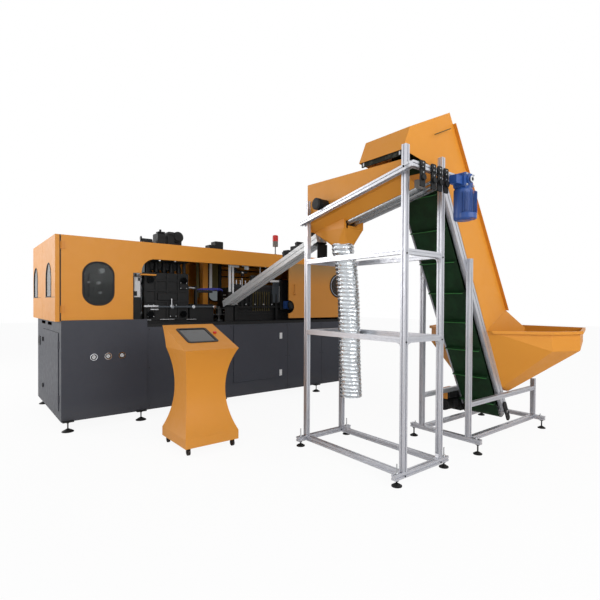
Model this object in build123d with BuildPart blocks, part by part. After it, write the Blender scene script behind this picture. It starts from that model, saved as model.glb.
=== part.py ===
"""Four-cavity stretch blow moulding line: moulding machine, operator console,
roller unscrambler on a profile stand, gravity feed rail and inclined preform elevator.

Millimetres, +Z up. The origin is the centre of the machine's front left levelling
foot, on the floor. X runs along the machine, Y runs from its front to its back.
"""
from build123d import *
from math import atan, cos, radians, sin
import os

os.makedirs("parts", exist_ok=True)

# Common stock
sheet = 3.0
profile = 45.0
slot_width = 10.0
slot_depth = 7.0
running_gap = 0.3
pane_thickness = 5.0

# Machine cabinet
cabinet_length = 4400.0
cabinet_depth = 1750.0
cabinet_left = -62.0
cabinet_front = 22.0
cabinet_bottom = 106.0
cabinet_top = 1218.0
side_block_length = 913.0
side_block_proud = 14.0
bed_top = 1160.0
bed_thickness = 40.0
base_tube = 80.0
cabinet_sheet = 4.0
door_left = 2030.0
door_right = 2800.0
door_bottom = 300.0
door_top = 1110.0
door_gap = 4.0
hinge_radius = 9.0
hinge_height = 90.0
side_door_front = 150.0
side_door_back = 1260.0
side_door_bottom = 200.0
side_door_top = 1080.0
side_pin_out = 6.3
side_pin_gap = 3.0
side_pin_radius = 6.0
side_handle_inset = 160.0
side_handle_low = 836.0
side_handle_high = 958.0
side_handle_width = 150.0
side_handle_proud = 8.0
latch_low = 341.0
latch_high = 941.0
latch_inset = 40.0
vent_bottom = 1140.0
vent_height = 38.0
vent_width = 300.0
vent_places = (620.0, 1110.0)
gauge_radius = 41.0
gauge_height = 798.0
gauge_first = 259.0
gauge_pitch = 150.0
latch_radius = 14.0
latch_length = 56.0

# Hood
hood_top = 2155.0
hood_bottom = 1218.0
hood_end_out = 55.0
hood_panel_depth = 40.0
hood_panel_right = 692.0
beam_bottom = 1955.0
beam_corner_right = 786.0
beam_corner_bottom = 1777.0
beam_corner_radius = 165.0
jamb_width = 40.0
window_width = 328.0
window_height = 494.0
window_centre_x = 312.0
window_centre_z = 1632.0
window_radius = 150.0
end_window_width = 372.0
end_window_bottom = 1475.0
end_window_top = 1872.0
end_door_split = 905.0
end_door_bottom = 1206.0
end_door_depth = 54.0
guard_length = 1356.0
guard_right_gap = 20.0
guard_bottom = 1194.0
guard_top = 2032.0
guard_window_radius = 192.0
guard_window_inset = 353.0
guard_window_z = 1716.0
guard_notch_radius = 100.0
guard_notch_z = 1368.0
roof_hole_left = 800.0
roof_hole_right = 1560.0
roof_hole_front = 170.0
roof_hole_back = 1250.0
lamp_x = 2746.0
lamp_radius = 42.0

# Clamp and blow station
clamp_left = 870.0
clamp_width = 570.0
clamp_front = 180.0
clamp_depth = 1080.0
platen_thickness = 90.0
platen_height = 620.0
tie_rod_radius = 32.0
tie_rod_inset_x = 70.0
tie_rod_inset_z = 90.0
mould_width = 440.0
mould_height = 330.0
mould_thickness = 110.0
clamp_stroke = 120.0
cavity_count = 4
cavity_pitch = 100.0
cavity_radius = 34.0
blow_column_radius = 22.0
blow_nozzle_radius = 24.0
drive_plate_drop = 28.0
drive_plate_thickness = 30.0
transfer_left = 1470.0
transfer_right = 1815.0
transfer_front = 200.0
transfer_back = 640.0
transfer_height = 240.0

# Heating tunnel and feed wheel
oven_left = 2120.0
oven_length = 1500.0
oven_front = 260.0
oven_height = 430.0
oven_box_depth = 150.0
oven_channel = 130.0
lamp_tube_radius = 6.0
lamp_tube_count = 6
wheel_x = 1960.0
wheel_y = 330.0
wheel_radius = 130.0
wheel_pockets = 10
pocket_radius = 17.0

# Console
console_x = 946.0
console_y = -1290.0
console_width = 545.0
console_depth = 590.0
console_plinth_bottom = 72.0
console_plinth_top = 160.0
console_front_height = 975.0
console_back_height = 1190.0
console_waist_inset = 70.0
console_depth_inset = 150.0
castor_radius = 30.0
castor_width = 22.0
button_radius = 18.0
button_travel = 6.0

# Unscrambler stand
stand_left = 1749.0
stand_width = 523.0
stand_front = -3236.0
stand_length = 1280.0
stand_front_height = 2672.0
stand_back_height = 2442.0
stand_upper_rail = 1859.0
stand_middle_rail = 1158.0
stand_base_top = 96.0
stand_base_overhang = 92.0
stand_foot_out = 52.0
foot_radius = 42.0
machine_foot_radius = 60.0
foot_stem_radius = 7.0

# Unscrambler trough
trough_fall = 0.19
trough_mid_y = -2778.0
trough_below_posts = 265.0
trough_rise = 187.0
trough_end_y = -3214.0
trough_near_out = 64.0
trough_far_out = 40.0
roller_x = 1985.0
roller_radius = 30.0
roller_spacing = 84.0
roller_drop = 129.0
roller_far_y = -2066.0
roller_shaft_radius = 12.0
plate_width = 56.0
plate_top_drop = -12.0
plate_height = 198.0
plate_thickness = 14.0
floor_drop = 122.0
floor_start = 45.0
funnel_near = -2392.0
funnel_half = 130.0
funnel_drop = 100.0
funnel_below = 267.0
neck_x = 2010.0
neck_y = -2240.0
neck_radius = 99.0
neck_below = 485.0
neck_height = 76.0
duct_radius = 101.0
duct_wall = 2.0
duct_overlap = 40.0
duct_bottom = 482.0
duct_pitch = 40.0
duct_rib = 4.0
kicker_y = -2228.0
kicker_below = 45.0
kicker_radius = 52.0
kicker_wheel_radius = 60.0

# Gravity rail
rail_top_y = -1932.0
rail_bottom_y = 130.0
rail_top_below = 308.0
rail_bottom_z = 1405.0
rail_gap = 40.0
rail_height = 90.0
rail_bracket_count = 4

# Elevator
elevator_left = 2835.0
elevator_length = 1423.0
elevator_front = -3146.0
elevator_depth = 591.0
elevator_base_top = 140.0
elevator_middle_rail = 475.0
elevator_post_height = 1860.0
elevator_base_overhang = 112.0
elevator_foot_out = 80.0
conveyor_angle = 62.5
rail_depth = 90.0
rail_centre = 3350.0
skirt_flange = 32.0
skirt_corner_x = 3614.0
skirt_corner_z = 1359.0
head_drum_along = -1390.0
tail_drum_along = 1445.0
belt_thickness = 5.0
drum_radius = 70.0
belt_width = 406.0
cleat_height = 42.0
cleat_thickness = 6.0
cleat_start = 24.0
cleat_spacing = 332.0
cleats_per_run = 9
drum_shaft_radius = 14.0
hopper_rim = 1152.0
hopper_lip_width = 26.0
hopper_lip_height = 30.0
hopper_base = 478.0
hopper_corner = (3988.0, 607.0, 950.0)
hopper_back = (4818.0, 347.0, 985.0)
hopper_fold = (3640.0, 472.0, 951.0)
gusset_right = 4055.0
gusset_drop = 60.0


def corner_box(low, high, mode=Mode.ADD):
    """A box between two opposite corners."""
    with Locations(tuple(low)):
        Box(*[b - a for a, b in zip(low, high)], align=(Align.MIN,) * 3, mode=mode)


def bar(start, end, width=profile, height=profile, up=(0, 0, 1)):
    """A slotted aluminium profile between two points on its centre line."""
    along = (Vector(*end) - Vector(*start))
    side = along.cross(Vector(*up))
    if side.length < 1e-6:
        side = Vector(1, 0, 0)
    section_plane = Plane(origin=start, x_dir=side.normalized(), z_dir=along.normalized())
    with BuildPart() as piece:
        with BuildSketch(section_plane):
            Rectangle(width, height)
            with Locations((0, height / 2), (0, -height / 2)):
                Rectangle(slot_width, 2 * slot_depth, mode=Mode.SUBTRACT)
            with Locations((width / 2, 0), (-width / 2, 0)):
                Rectangle(2 * slot_depth, slot_width, mode=Mode.SUBTRACT)
        extrude(amount=along.length)
    return piece.part


def plain_box(low, high):
    """A plain rectangular solid between two corners."""
    with BuildPart() as piece:
        corner_box(low, high)
    return piece.part


def group(name, pieces):
    """Separate solids kept together as one sub-part."""
    solids = [solid for piece in pieces for solid in piece.solids()]
    return Compound(label=name, children=solids)


def write(name, part):
    """Label a finished sub-part and write it to its own file."""
    part.label = name
    export_step(part, f"parts/{name}.step")


# Derived places
cabinet_right = cabinet_left + cabinet_length
cabinet_back = cabinet_front + cabinet_depth
bed_bottom = bed_top - bed_thickness
side_block_right = cabinet_left + side_block_length
hood_left_face = cabinet_left - hood_end_out
stand_right = stand_left + stand_width
stand_back = stand_front + stand_length
elevator_right = elevator_left + elevator_length
elevator_back = elevator_front + elevator_depth
trough_left = stand_left + profile
trough_right = stand_right - profile
trough_centre = (trough_left + trough_right) / 2
trough_mid_z = stand_front_height - trough_below_posts
trough_top = trough_mid_z + trough_rise
funnel_base = trough_mid_z - funnel_below
neck_bottom = trough_mid_z - neck_below
kicker_z = trough_mid_z - kicker_below
rail_top_z = trough_mid_z - rail_top_below
duct_top = neck_bottom + duct_overlap
duct_length = duct_top - duct_bottom


end_pin_x = cabinet_left - 1.0
guard_right = cabinet_right - guard_right_gap
guard_left = guard_right - guard_length
guard_window_x = cabinet_right - guard_window_inset
guard_pin_x = guard_right + 7.3
guard_pin_y = cabinet_front - 22


def slope_z(y):
    """Height of the sloping trough rail's top face at a given depth."""
    return trough_mid_z - (y - trough_mid_y) * trough_fall


# Welded base frame inside the cabinet
frame_pieces = []
inside_left = cabinet_left + cabinet_sheet
inside_right = cabinet_right - cabinet_sheet
inside_front = cabinet_front + cabinet_sheet
inside_back = cabinet_back - cabinet_sheet
base_low = cabinet_bottom + cabinet_sheet
for x in (inside_left, side_block_right, door_right + 60, inside_right - base_tube):
    for y in (inside_front, inside_back - base_tube):
        low = (x, y, base_low + base_tube)
        high = (x + base_tube, y + base_tube, bed_bottom - base_tube)
        frame_pieces.append(plain_box(low, high))
for z in (base_low, bed_bottom - base_tube):
    for y in (inside_front, inside_back - base_tube):
        frame_pieces.append(plain_box((inside_left, y, z), (inside_right, y + base_tube, z + base_tube)))
    for x in (inside_left, side_block_right, door_right + 60, inside_right - base_tube):
        low = (x, inside_front + base_tube, z)
        high = (x + base_tube, inside_back - base_tube, z + base_tube)
        frame_pieces.append(plain_box(low, high))
base_frame = group("base_frame", frame_pieces)
write("base_frame", base_frame)

# Grey cabinet: removable sheet panels round the base frame
panel_top = bed_bottom
block_front = cabinet_front - side_block_proud
cabinet_pieces = [
    plain_box((cabinet_left, cabinet_front, cabinet_bottom),
              (cabinet_right, cabinet_back, base_low)),
    plain_box((cabinet_left + cabinet_sheet, inside_back, base_low),
              (cabinet_right - cabinet_sheet, cabinet_back, cabinet_top)),
    plain_box((inside_right, cabinet_front, base_low),
              (cabinet_right, cabinet_back, cabinet_top)),
]
with BuildPart() as block_panel:
    corner_box((cabinet_left, block_front, cabinet_bottom),
               (side_block_right, cabinet_front, cabinet_top))
    corner_box((cabinet_left + sheet, block_front + sheet, cabinet_bottom - 1),
               (side_block_right - sheet, cabinet_front + 1, cabinet_top - sheet), mode=Mode.SUBTRACT)
    with BuildSketch(Plane.XZ.offset(-block_front)):
        with Locations(*[(gauge_first + i * gauge_pitch, gauge_height) for i in range(3)]):
            Circle(gauge_radius * 0.8)
    extrude(amount=-sheet * 2, mode=Mode.SUBTRACT)
cabinet_pieces.append(block_panel.part)
for low, high in (((side_block_right, base_low), (door_left, panel_top)),
                  ((door_right, base_low), (inside_right, panel_top)),
                  ((door_left, base_low), (door_right, door_bottom)),
                  ((door_left, door_top), (door_right, panel_top))):
    cabinet_pieces.append(plain_box((low[0], cabinet_front, low[1]), (high[0], inside_front, high[1])))
for low, high in (((cabinet_front, base_low), (side_door_front, cabinet_top)),
                  ((side_door_back, base_low), (cabinet_back, cabinet_top)),
                  ((side_door_front, base_low), (side_door_back, side_door_bottom)),
                  ((side_door_front, side_door_top), (side_door_back, cabinet_top))):
    with BuildPart() as left_strip:
        corner_box((cabinet_left, low[0], low[1]), (inside_left, high[0], high[1]))
        if low[1] == side_door_top or low[0] == side_door_back:
            for y in vent_places:
                corner_box((cabinet_left - 1, y, vent_bottom),
                           (inside_left + 1, y + vent_width, vent_bottom + vent_height), mode=Mode.SUBTRACT)
    cabinet_pieces.append(left_strip.part)
cabinet_panels = group("cabinet_panels", cabinet_pieces)
write("cabinet_panels", cabinet_panels)

# Cabinet door, hung on two hinges at its right edge
with BuildPart() as cabinet_door:
    corner_box((door_left + door_gap, cabinet_front - hinge_radius, door_bottom + door_gap),
               (door_right - door_gap, cabinet_front + cabinet_sheet, door_top - door_gap))
    door_rim = door_gap + sheet
    corner_box((door_left + door_rim, cabinet_front - hinge_radius + sheet, door_bottom + door_rim),
               (door_right - door_rim, cabinet_front + cabinet_sheet + 1, door_top - door_rim),
               mode=Mode.SUBTRACT)
    crease = door_bottom + 110
    with BuildSketch(Plane.XZ.offset(-(cabinet_front - hinge_radius))):
        with Locations(((door_left + door_right) / 2, crease)):
            Rectangle(door_right - door_left - 2 * door_gap - 40, 4)
    extrude(amount=-1.5, mode=Mode.SUBTRACT)
write("cabinet_door", cabinet_door.part)

hinge_x = door_right + 14
hinge_y = cabinet_front - hinge_radius - 1
hinge_pieces = []
for z in (372, 930):
    with BuildPart() as hinge_leaf:
        corner_box((hinge_x, cabinet_front - 4, z - hinge_height / 2),
                   (hinge_x + 42, cabinet_front, z + hinge_height / 2))
        with BuildSketch(Plane.XY.offset(z - hinge_height / 2)):
            with Locations((hinge_x, hinge_y)):
                Circle(hinge_radius)
        extrude(amount=hinge_height)
        corner_box((hinge_x - 6, hinge_y, z - hinge_height / 2),
                   (hinge_x + 6, cabinet_front, z + hinge_height / 2))
    hinge_pieces.append(hinge_leaf.part)
door_hinge_radius = 7.0
door_hinge_y = cabinet_front - 4 - 9
for pin_y, leaf_low, leaf_high in ((door_hinge_y, door_hinge_y, cabinet_front - 4),
                                   (cabinet_back + 9, cabinet_back, cabinet_back + 9)):
    for z in (1340, 2040):
        with BuildPart() as end_hinge:
            with BuildSketch(Plane.XY.offset(z - 40)):
                with Locations((end_pin_x, pin_y)):
                    Circle(door_hinge_radius)
            extrude(amount=80)
            corner_box((end_pin_x, leaf_low, z - 40), (end_pin_x + 40, leaf_high, z + 40))
        hinge_pieces.append(end_hinge.part)
for z in (1340, 1900):
    with BuildPart() as guard_hinge:
        with BuildSketch(Plane.XY.offset(z - 40)):
            with Locations((guard_pin_x, guard_pin_y)):
                Circle(door_hinge_radius)
        extrude(amount=80)
        corner_box((guard_pin_x - 4, guard_pin_y, z - 40), (guard_pin_x + 10, cabinet_front - 4, z + 40))
    hinge_pieces.append(guard_hinge.part)
side_pin_x = cabinet_left - side_pin_out
side_pin_y = side_door_front - side_pin_gap
for z in (latch_low, latch_high):
    with BuildPart() as side_hinge:
        with BuildSketch(Plane.XY.offset(z - 40)):
            with Locations((side_pin_x, side_pin_y)):
                Circle(side_pin_radius)
        extrude(amount=80)
        corner_box((side_pin_x + 2, side_pin_y - 36, z - 40), (cabinet_left, side_pin_y, z + 40))
    hinge_pieces.append(side_hinge.part)
cabinet_hinges = group("cabinet_hinges", hinge_pieces)
write("cabinet_hinges", cabinet_hinges)

# Left side door with its two turn latches
with BuildPart() as side_door:
    corner_box((cabinet_left - 8, side_door_front + door_gap, side_door_bottom + door_gap),
               (cabinet_left + cabinet_sheet, side_door_back - door_gap, side_door_top - door_gap))
    corner_box((cabinet_left - 8 + sheet, side_door_front + door_rim, side_door_bottom + door_rim),
               (cabinet_left + cabinet_sheet + 1, side_door_back - door_rim, side_door_top - door_rim),
               mode=Mode.SUBTRACT)
    with BuildSketch(Plane.YZ.offset(cabinet_left - 9)):
        with Locations((side_door_back - latch_inset, latch_low), (side_door_back - latch_inset, latch_high)):
            Circle(latch_radius * 0.6 + 0.05)
    extrude(amount=20, mode=Mode.SUBTRACT)
write("side_door", side_door.part)
for latch_name, z in (("side_latch_lower", latch_low), ("side_latch_upper", latch_high)):
    with BuildPart() as latch:
        with BuildSketch(Plane.YZ.offset(cabinet_left - 8 - running_gap)):
            with Locations((side_door_back - latch_inset, z)):
                SlotOverall(latch_length, latch_radius * 2, rotation=90)
        extrude(amount=-14)
        with BuildSketch(Plane.YZ.offset(cabinet_left - 10)):
            with Locations((side_door_back - latch_inset, z)):
                Circle(latch_radius * 0.6)
        extrude(amount=24)
    write(latch_name, latch.part)

# Recessed pull plate on the fixed part of the left side
handle_y = cabinet_back - side_handle_inset
with BuildPart() as side_handle:
    with BuildSketch(Plane.YZ.offset(cabinet_left)):
        with Locations((handle_y, (side_handle_low + side_handle_high) / 2)):
            RectangleRounded(side_handle_width, side_handle_high - side_handle_low, 12)
    extrude(amount=-side_handle_proud)
    with BuildSketch(Plane.YZ.offset(cabinet_left - side_handle_proud)):
        with Locations((handle_y + 22, (side_handle_low + side_handle_high) / 2)):
            RectangleRounded(70, side_handle_high - side_handle_low - 36, 10)
    extrude(amount=5, mode=Mode.SUBTRACT)
write("side_handle", side_handle.part)

# Machine bed
with BuildPart() as bed_plate:
    corner_box((side_block_right, inside_front, bed_bottom), (inside_right, inside_back, bed_top))
write("bed_plate", bed_plate.part)

# Levelling feet of the machine and of both profile stands
foot_places = []
machine_feet = (0.0, 775.0, 1850.0, cabinet_right - 823.0, cabinet_right - 62.0)
for x in machine_feet:
    for y in (0.0, cabinet_back - cabinet_front - 40.0):
        foot_places.append((x, y, cabinet_bottom, machine_foot_radius))
for x in (stand_left - stand_foot_out, stand_right + stand_foot_out):
    for y in (stand_front + profile / 2, stand_back - profile / 2):
        foot_places.append((x, y, stand_base_top - profile, foot_radius))
for x in (elevator_left + profile / 2, elevator_right - profile / 2):
    for y in (elevator_front - elevator_foot_out, elevator_back + elevator_foot_out):
        foot_places.append((x, y, elevator_base_top - profile, foot_radius))
foot_pieces = []
for x, y, underside, pad_radius in foot_places:
    cone_top = pad_radius * 0.55
    with BuildPart() as foot:
        with BuildSketch(Plane.XZ.offset(-y)):
            with BuildLine():
                Polyline((x, 0), (x + pad_radius, 0), (x + pad_radius, 7), (x + 16, cone_top),
                         (x + foot_stem_radius, cone_top + 4), (x + foot_stem_radius, underside),
                         (x, underside), close=True)
            make_face()
        revolve(axis=Axis((x, y, 0), (0, 0, 1)))
        with BuildSketch(Plane.XY.offset(underside - 12)):
            with Locations((x, y)):
                RegularPolygon(15, 6)
        extrude(amount=12)
    foot_pieces.append(foot.part)

# Foot brackets along the cabinet's lower front and back edges
for x in machine_feet:
    plate_front = cabinet_front if x > side_block_right else block_front
    foot_pieces.append(plain_box((x - 55, -40, cabinet_bottom), (x + 55, plate_front, cabinet_bottom + 12)))
    foot_pieces.append(plain_box((x - 55, cabinet_back, cabinet_bottom),
                                 (x + 55, cabinet_back + 22, cabinet_bottom + 12)))
levelling_feet = group("levelling_feet", foot_pieces)
write("levelling_feet", levelling_feet)

# Three pressure gauges let into the left block
gauge_pieces = []
for i in range(3):
    x = gauge_first + i * gauge_pitch
    with BuildPart() as gauge:
        with BuildSketch(Plane.XY.offset(gauge_height)):
            with BuildLine():
                Polyline((x, block_front - 4), (x + gauge_radius - 9, block_front - 4),
                         (x + gauge_radius - 7, block_front - 13), (x + gauge_radius - 3, block_front - 13),
                         (x + gauge_radius, block_front - 2), (x + gauge_radius, block_front),
                         (x + gauge_radius * 0.78, block_front), (x + gauge_radius * 0.78, block_front + 10),
                         (x, block_front + 10), close=True)
            make_face()
        revolve(axis=Axis((x, 0, gauge_height), (0, 1, 0)))
    gauge_pieces.append(gauge.part)
pressure_gauges = group("pressure_gauges", gauge_pieces)
write("pressure_gauges", pressure_gauges)

# Hood: left front panel with its tall rounded window
panel_front = cabinet_front - 4
with BuildPart() as hood_left:
    corner_box((cabinet_left, panel_front, hood_bottom),
               (hood_panel_right, panel_front + hood_panel_depth, hood_top))
    corner_box((cabinet_left + sheet, panel_front + sheet, hood_bottom + sheet),
               (hood_panel_right - sheet, panel_front + hood_panel_depth + 1, hood_top - sheet),
               mode=Mode.SUBTRACT)
    with BuildSketch(Plane.XZ.offset(-panel_front)):
        with Locations((window_centre_x, window_centre_z)):
            RectangleRounded(window_width, window_height, window_radius)
    extrude(amount=-2 * sheet, mode=Mode.SUBTRACT)
write("hood_left", hood_left.part)

# Hood: fascia over the open front, with its rounded left corner
with BuildPart() as hood_beam:
    with BuildSketch(Plane.XZ.offset(-panel_front)) as fascia:
        with BuildLine():
            Polyline((hood_panel_right, hood_top), (cabinet_right, hood_top), (cabinet_right, beam_bottom),
                     (beam_corner_right, beam_bottom), (beam_corner_right, beam_corner_bottom),
                     (hood_panel_right, beam_corner_bottom), close=True)
        make_face()
        fillet(fascia.vertices().sort_by_distance((beam_corner_right, beam_bottom, 0))[0],
               beam_corner_radius)
    extrude(amount=-sheet)
    corner_box((hood_panel_right, panel_front + sheet, hood_top - sheet),
               (cabinet_right, panel_front + hood_panel_depth, hood_top))
    corner_box((beam_corner_right + beam_corner_radius, panel_front + sheet, beam_bottom),
               (cabinet_right, panel_front + hood_panel_depth, beam_bottom + sheet))
    corner_box((cabinet_right - jamb_width, panel_front, hood_bottom),
               (cabinet_right, panel_front + sheet, beam_bottom))
    corner_box((cabinet_right - sheet, panel_front + sheet, hood_bottom),
               (cabinet_right, panel_front + hood_panel_depth, beam_bottom))
write("hood_beam", hood_beam.part)

# Hood: rear wall with a row of rounded windows
rear_windows = ((window_centre_x, window_width), (1290.0, window_width), (cabinet_right - 1720, 252.0),
                (cabinet_right - 994, 960.0))
rear_window_z = 1780.0
rear_window_height = 640.0
rear_window_radius = 110.0
with BuildPart() as hood_rear:
    corner_box((cabinet_left, cabinet_back - sheet, hood_bottom), (cabinet_right, cabinet_back, hood_top))
    with BuildSketch(Plane.XZ.offset(-(cabinet_back - sheet))):
        for x, width in rear_windows:
            with Locations((x, rear_window_z)):
                RectangleRounded(width, rear_window_height, rear_window_radius)
    extrude(amount=-sheet, mode=Mode.SUBTRACT)

# Hood: right end wall
with BuildPart() as hood_right:
    corner_box((cabinet_right - sheet, panel_front + hood_panel_depth, hood_bottom),
               (cabinet_right, cabinet_back - sheet, hood_top))

# Hood: roof sheet, open above the moulding station and its drives
with BuildPart() as hood_roof:
    corner_box((cabinet_left, panel_front + hood_panel_depth, hood_top - sheet),
               (cabinet_right - sheet, cabinet_back - sheet, hood_top))
    corner_box((roof_hole_left, roof_hole_front, hood_top - sheet - 1),
               (roof_hole_right, roof_hole_back, hood_top + 1), mode=Mode.SUBTRACT)
hood_shell = group("hood_shell", [hood_rear.part, hood_right.part, hood_roof.part])
write("hood_shell", hood_shell)

# Fixed window panes behind the front and rear windows
pane_margin = 18.0
pane_width = window_width + 2 * pane_margin
pane_height = window_height + 2 * pane_margin
with BuildPart() as front_pane:
    with BuildSketch(Plane.XZ.offset(-(panel_front + sheet))):
        with Locations((window_centre_x, window_centre_z)):
            RectangleRounded(pane_width, pane_height, window_radius)
    extrude(amount=-pane_thickness)
pane_pieces = [front_pane.part]
for x, width in rear_windows:
    with BuildPart() as rear_pane:
        with BuildSketch(Plane.XZ.offset(-(cabinet_back - sheet - pane_thickness))):
            with Locations((x, rear_window_z)):
                RectangleRounded(width + 2 * pane_margin, rear_window_height + 2 * pane_margin,
                                 rear_window_radius)
        extrude(amount=-pane_thickness)
    pane_pieces.append(rear_pane.part)
hood_panes = group("hood_panes", pane_pieces)
write("hood_panes", hood_panes)

# Two end doors with arched windows, hinged at the front and rear corners
end_front = panel_front
end_back = cabinet_back
end_spans = (("front", end_front, end_door_split - 3, 457.0), ("rear", end_door_split + 3, end_back, 1509.0))
for side, y0, y1, window_y in end_spans:
    with BuildPart() as end_door:
        corner_box((hood_left_face, y0, end_door_bottom), (hood_left_face + end_door_depth, y1, hood_top))
        corner_box((hood_left_face + sheet, y0 + sheet, end_door_bottom + sheet),
                   (hood_left_face + end_door_depth + 1, y1 - sheet, hood_top - sheet), mode=Mode.SUBTRACT)
        with BuildSketch(Plane.YZ.offset(hood_left_face)):
            arch_radius = end_window_width / 2
            with Locations((window_y, (end_window_bottom + end_window_top - arch_radius) / 2)):
                Rectangle(end_window_width, end_window_top - arch_radius - end_window_bottom)
            with Locations((window_y, end_window_top - arch_radius)):
                Circle(arch_radius)
        extrude(amount=2 * sheet, mode=Mode.SUBTRACT)
    write(f"end_door_{side}", end_door.part)
    with BuildPart() as end_pane:
        with BuildSketch(Plane.YZ.offset(hood_left_face + sheet)):
            with Locations((window_y, (end_window_bottom + end_window_top) / 2)):
                RectangleRounded(end_window_width + 2 * pane_margin,
                                 end_window_top - end_window_bottom + 2 * pane_margin, 60)
        extrude(amount=pane_thickness)
    write(f"end_pane_{side}", end_pane.part)

# Right guard door, hung in front of the fascia, with a round window
guard_front = panel_front - 24
with BuildPart() as guard_door:
    corner_box((guard_left, guard_front, guard_bottom), (guard_right, panel_front - 2, guard_top))
    corner_box((guard_left + sheet, guard_front + sheet, guard_bottom + sheet),
               (guard_right - sheet, panel_front, guard_top - sheet), mode=Mode.SUBTRACT)
    with BuildSketch(Plane.XZ.offset(-guard_front)):
        with Locations((guard_window_x, guard_window_z)):
            Circle(guard_window_radius - 14)
        with Locations((guard_left, guard_notch_z)):
            Circle(guard_notch_radius)
    extrude(amount=-40, mode=Mode.SUBTRACT)
write("guard_door", guard_door.part)
with BuildPart() as guard_pane:
    with BuildSketch(Plane.XZ.offset(-(guard_front + sheet))):
        with Locations((guard_window_x, guard_window_z)):
            Circle(guard_window_radius)
    extrude(amount=-pane_thickness)
write("guard_pane", guard_pane.part)

# Signal lamp on a rod above the fascia
lamp_y = panel_front + 34
with BuildPart() as signal_lamp:
    with BuildSketch(Plane.XY.offset(hood_top)):
        with Locations((lamp_x, lamp_y)):
            Circle(24)
    extrude(amount=6)
    with BuildSketch(Plane.XY.offset(hood_top)):
        with Locations((lamp_x, lamp_y)):
            Circle(8)
    extrude(amount=118)
    with BuildSketch(Plane.XY.offset(hood_top + 118)):
        with Locations((lamp_x, lamp_y)):
            Circle(lamp_radius - 2)
    extrude(amount=78)
write("signal_lamp", signal_lamp.part)
with BuildPart() as signal_lens:
    with BuildSketch(Plane.XY.offset(hood_top + 196)):
        with Locations((lamp_x, lamp_y)):
            Circle(lamp_radius)
    extrude(amount=92)
    fillet(signal_lens.edges().group_by(Axis.Z)[-1], 16)
write("signal_lens", signal_lens.part)

# Clamp: two fixed end plates joined by four tie rods, with a sliding platen between
clamp_right = clamp_left + clamp_width
clamp_back = clamp_front + clamp_depth
clamp_centre = (clamp_left + clamp_right) / 2
clamp_top = bed_top + 20 + platen_height
rod_places = [(x, z) for x in (clamp_left + tie_rod_inset_x, clamp_right - tie_rod_inset_x)
              for z in (bed_top + 20 + tie_rod_inset_z, clamp_top - tie_rod_inset_z)]
with BuildPart() as clamp_plates:
    corner_box((clamp_left - 30, clamp_front - 30, bed_top),
               (clamp_right + 30, clamp_back + 30, bed_top + 20))
    for y in (clamp_front, clamp_back - platen_thickness):
        corner_box((clamp_left, y, bed_top + 20), (clamp_right, y + platen_thickness, clamp_top))
    with BuildSketch(Plane.XZ.offset(-clamp_front)):
        with Locations(*rod_places):
            Circle(tie_rod_radius)
    extrude(amount=-clamp_depth, mode=Mode.SUBTRACT)
transfer_table = plain_box((transfer_left, transfer_front, bed_top),
                           (transfer_right, transfer_back, bed_top + transfer_height))
clamp_frame = group("clamp_frame", [clamp_plates.part, transfer_table])
write("clamp_frame", clamp_frame)
rod_pieces = []
for x, z in rod_places:
    with BuildPart() as tie_rod:
        with BuildSketch(Plane.XZ.offset(-(clamp_front - 30))):
            with Locations((x, z)):
                Circle(tie_rod_radius)
        extrude(amount=-(clamp_depth + 60))
        for y in (clamp_front - 34, clamp_back):
            with BuildSketch(Plane.XZ.offset(-y)):
                with Locations((x, z)):
                    RegularPolygon(tie_rod_radius + 14, 6)
            extrude(amount=-34)
    rod_pieces.append(tie_rod.part)
tie_rods = group("tie_rods", rod_pieces)
write("tie_rods", tie_rods)

mould_y = clamp_front + platen_thickness
mould_z = bed_top + 20 + (platen_height - mould_height) / 2
mould_left = clamp_centre - mould_width / 2
split_y = mould_y + mould_thickness
cavity_x = [clamp_centre + (i - (cavity_count - 1) / 2) * cavity_pitch for i in range(cavity_count)]


def mould_half(y0, y1):
    """One mould block with half of each bottle cavity in its parting face."""
    with BuildPart() as block:
        corner_box((mould_left, y0, mould_z), (mould_left + mould_width, y1, mould_z + mould_height))
        for x in cavity_x:
            with BuildSketch(Plane.XY.offset(mould_z + 40)):
                with Locations((x, split_y)):
                    Circle(cavity_radius)
            extrude(amount=mould_height - 100, mode=Mode.SUBTRACT)
            with BuildSketch(Plane.XY.offset(mould_z + mould_height - 61)):
                with Locations((x, split_y)):
                    Circle(15)
            extrude(amount=62, mode=Mode.SUBTRACT)
    return block.part


write("mould_front", mould_half(mould_y, split_y))
write("mould_rear", mould_half(split_y + running_gap, split_y + running_gap + mould_thickness))
platen_y = split_y + running_gap + mould_thickness
with BuildPart() as moving_platen:
    corner_box((clamp_left, platen_y, bed_top + 40),
               (clamp_right, platen_y + platen_thickness, clamp_top))
    with BuildSketch(Plane.XZ.offset(-platen_y)):
        with Locations(*rod_places):
            Circle(tie_rod_radius + 0.05)
    extrude(amount=-platen_thickness, mode=Mode.SUBTRACT)
    with BuildSketch(Plane.XZ.offset(-(platen_y + platen_thickness))):
        with Locations((clamp_centre, mould_z + mould_height / 2)):
            Circle(58)
    extrude(amount=-(clamp_back - platen_thickness - platen_y - platen_thickness - clamp_stroke - 10))
write("moving_platen", moving_platen.part)

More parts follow.
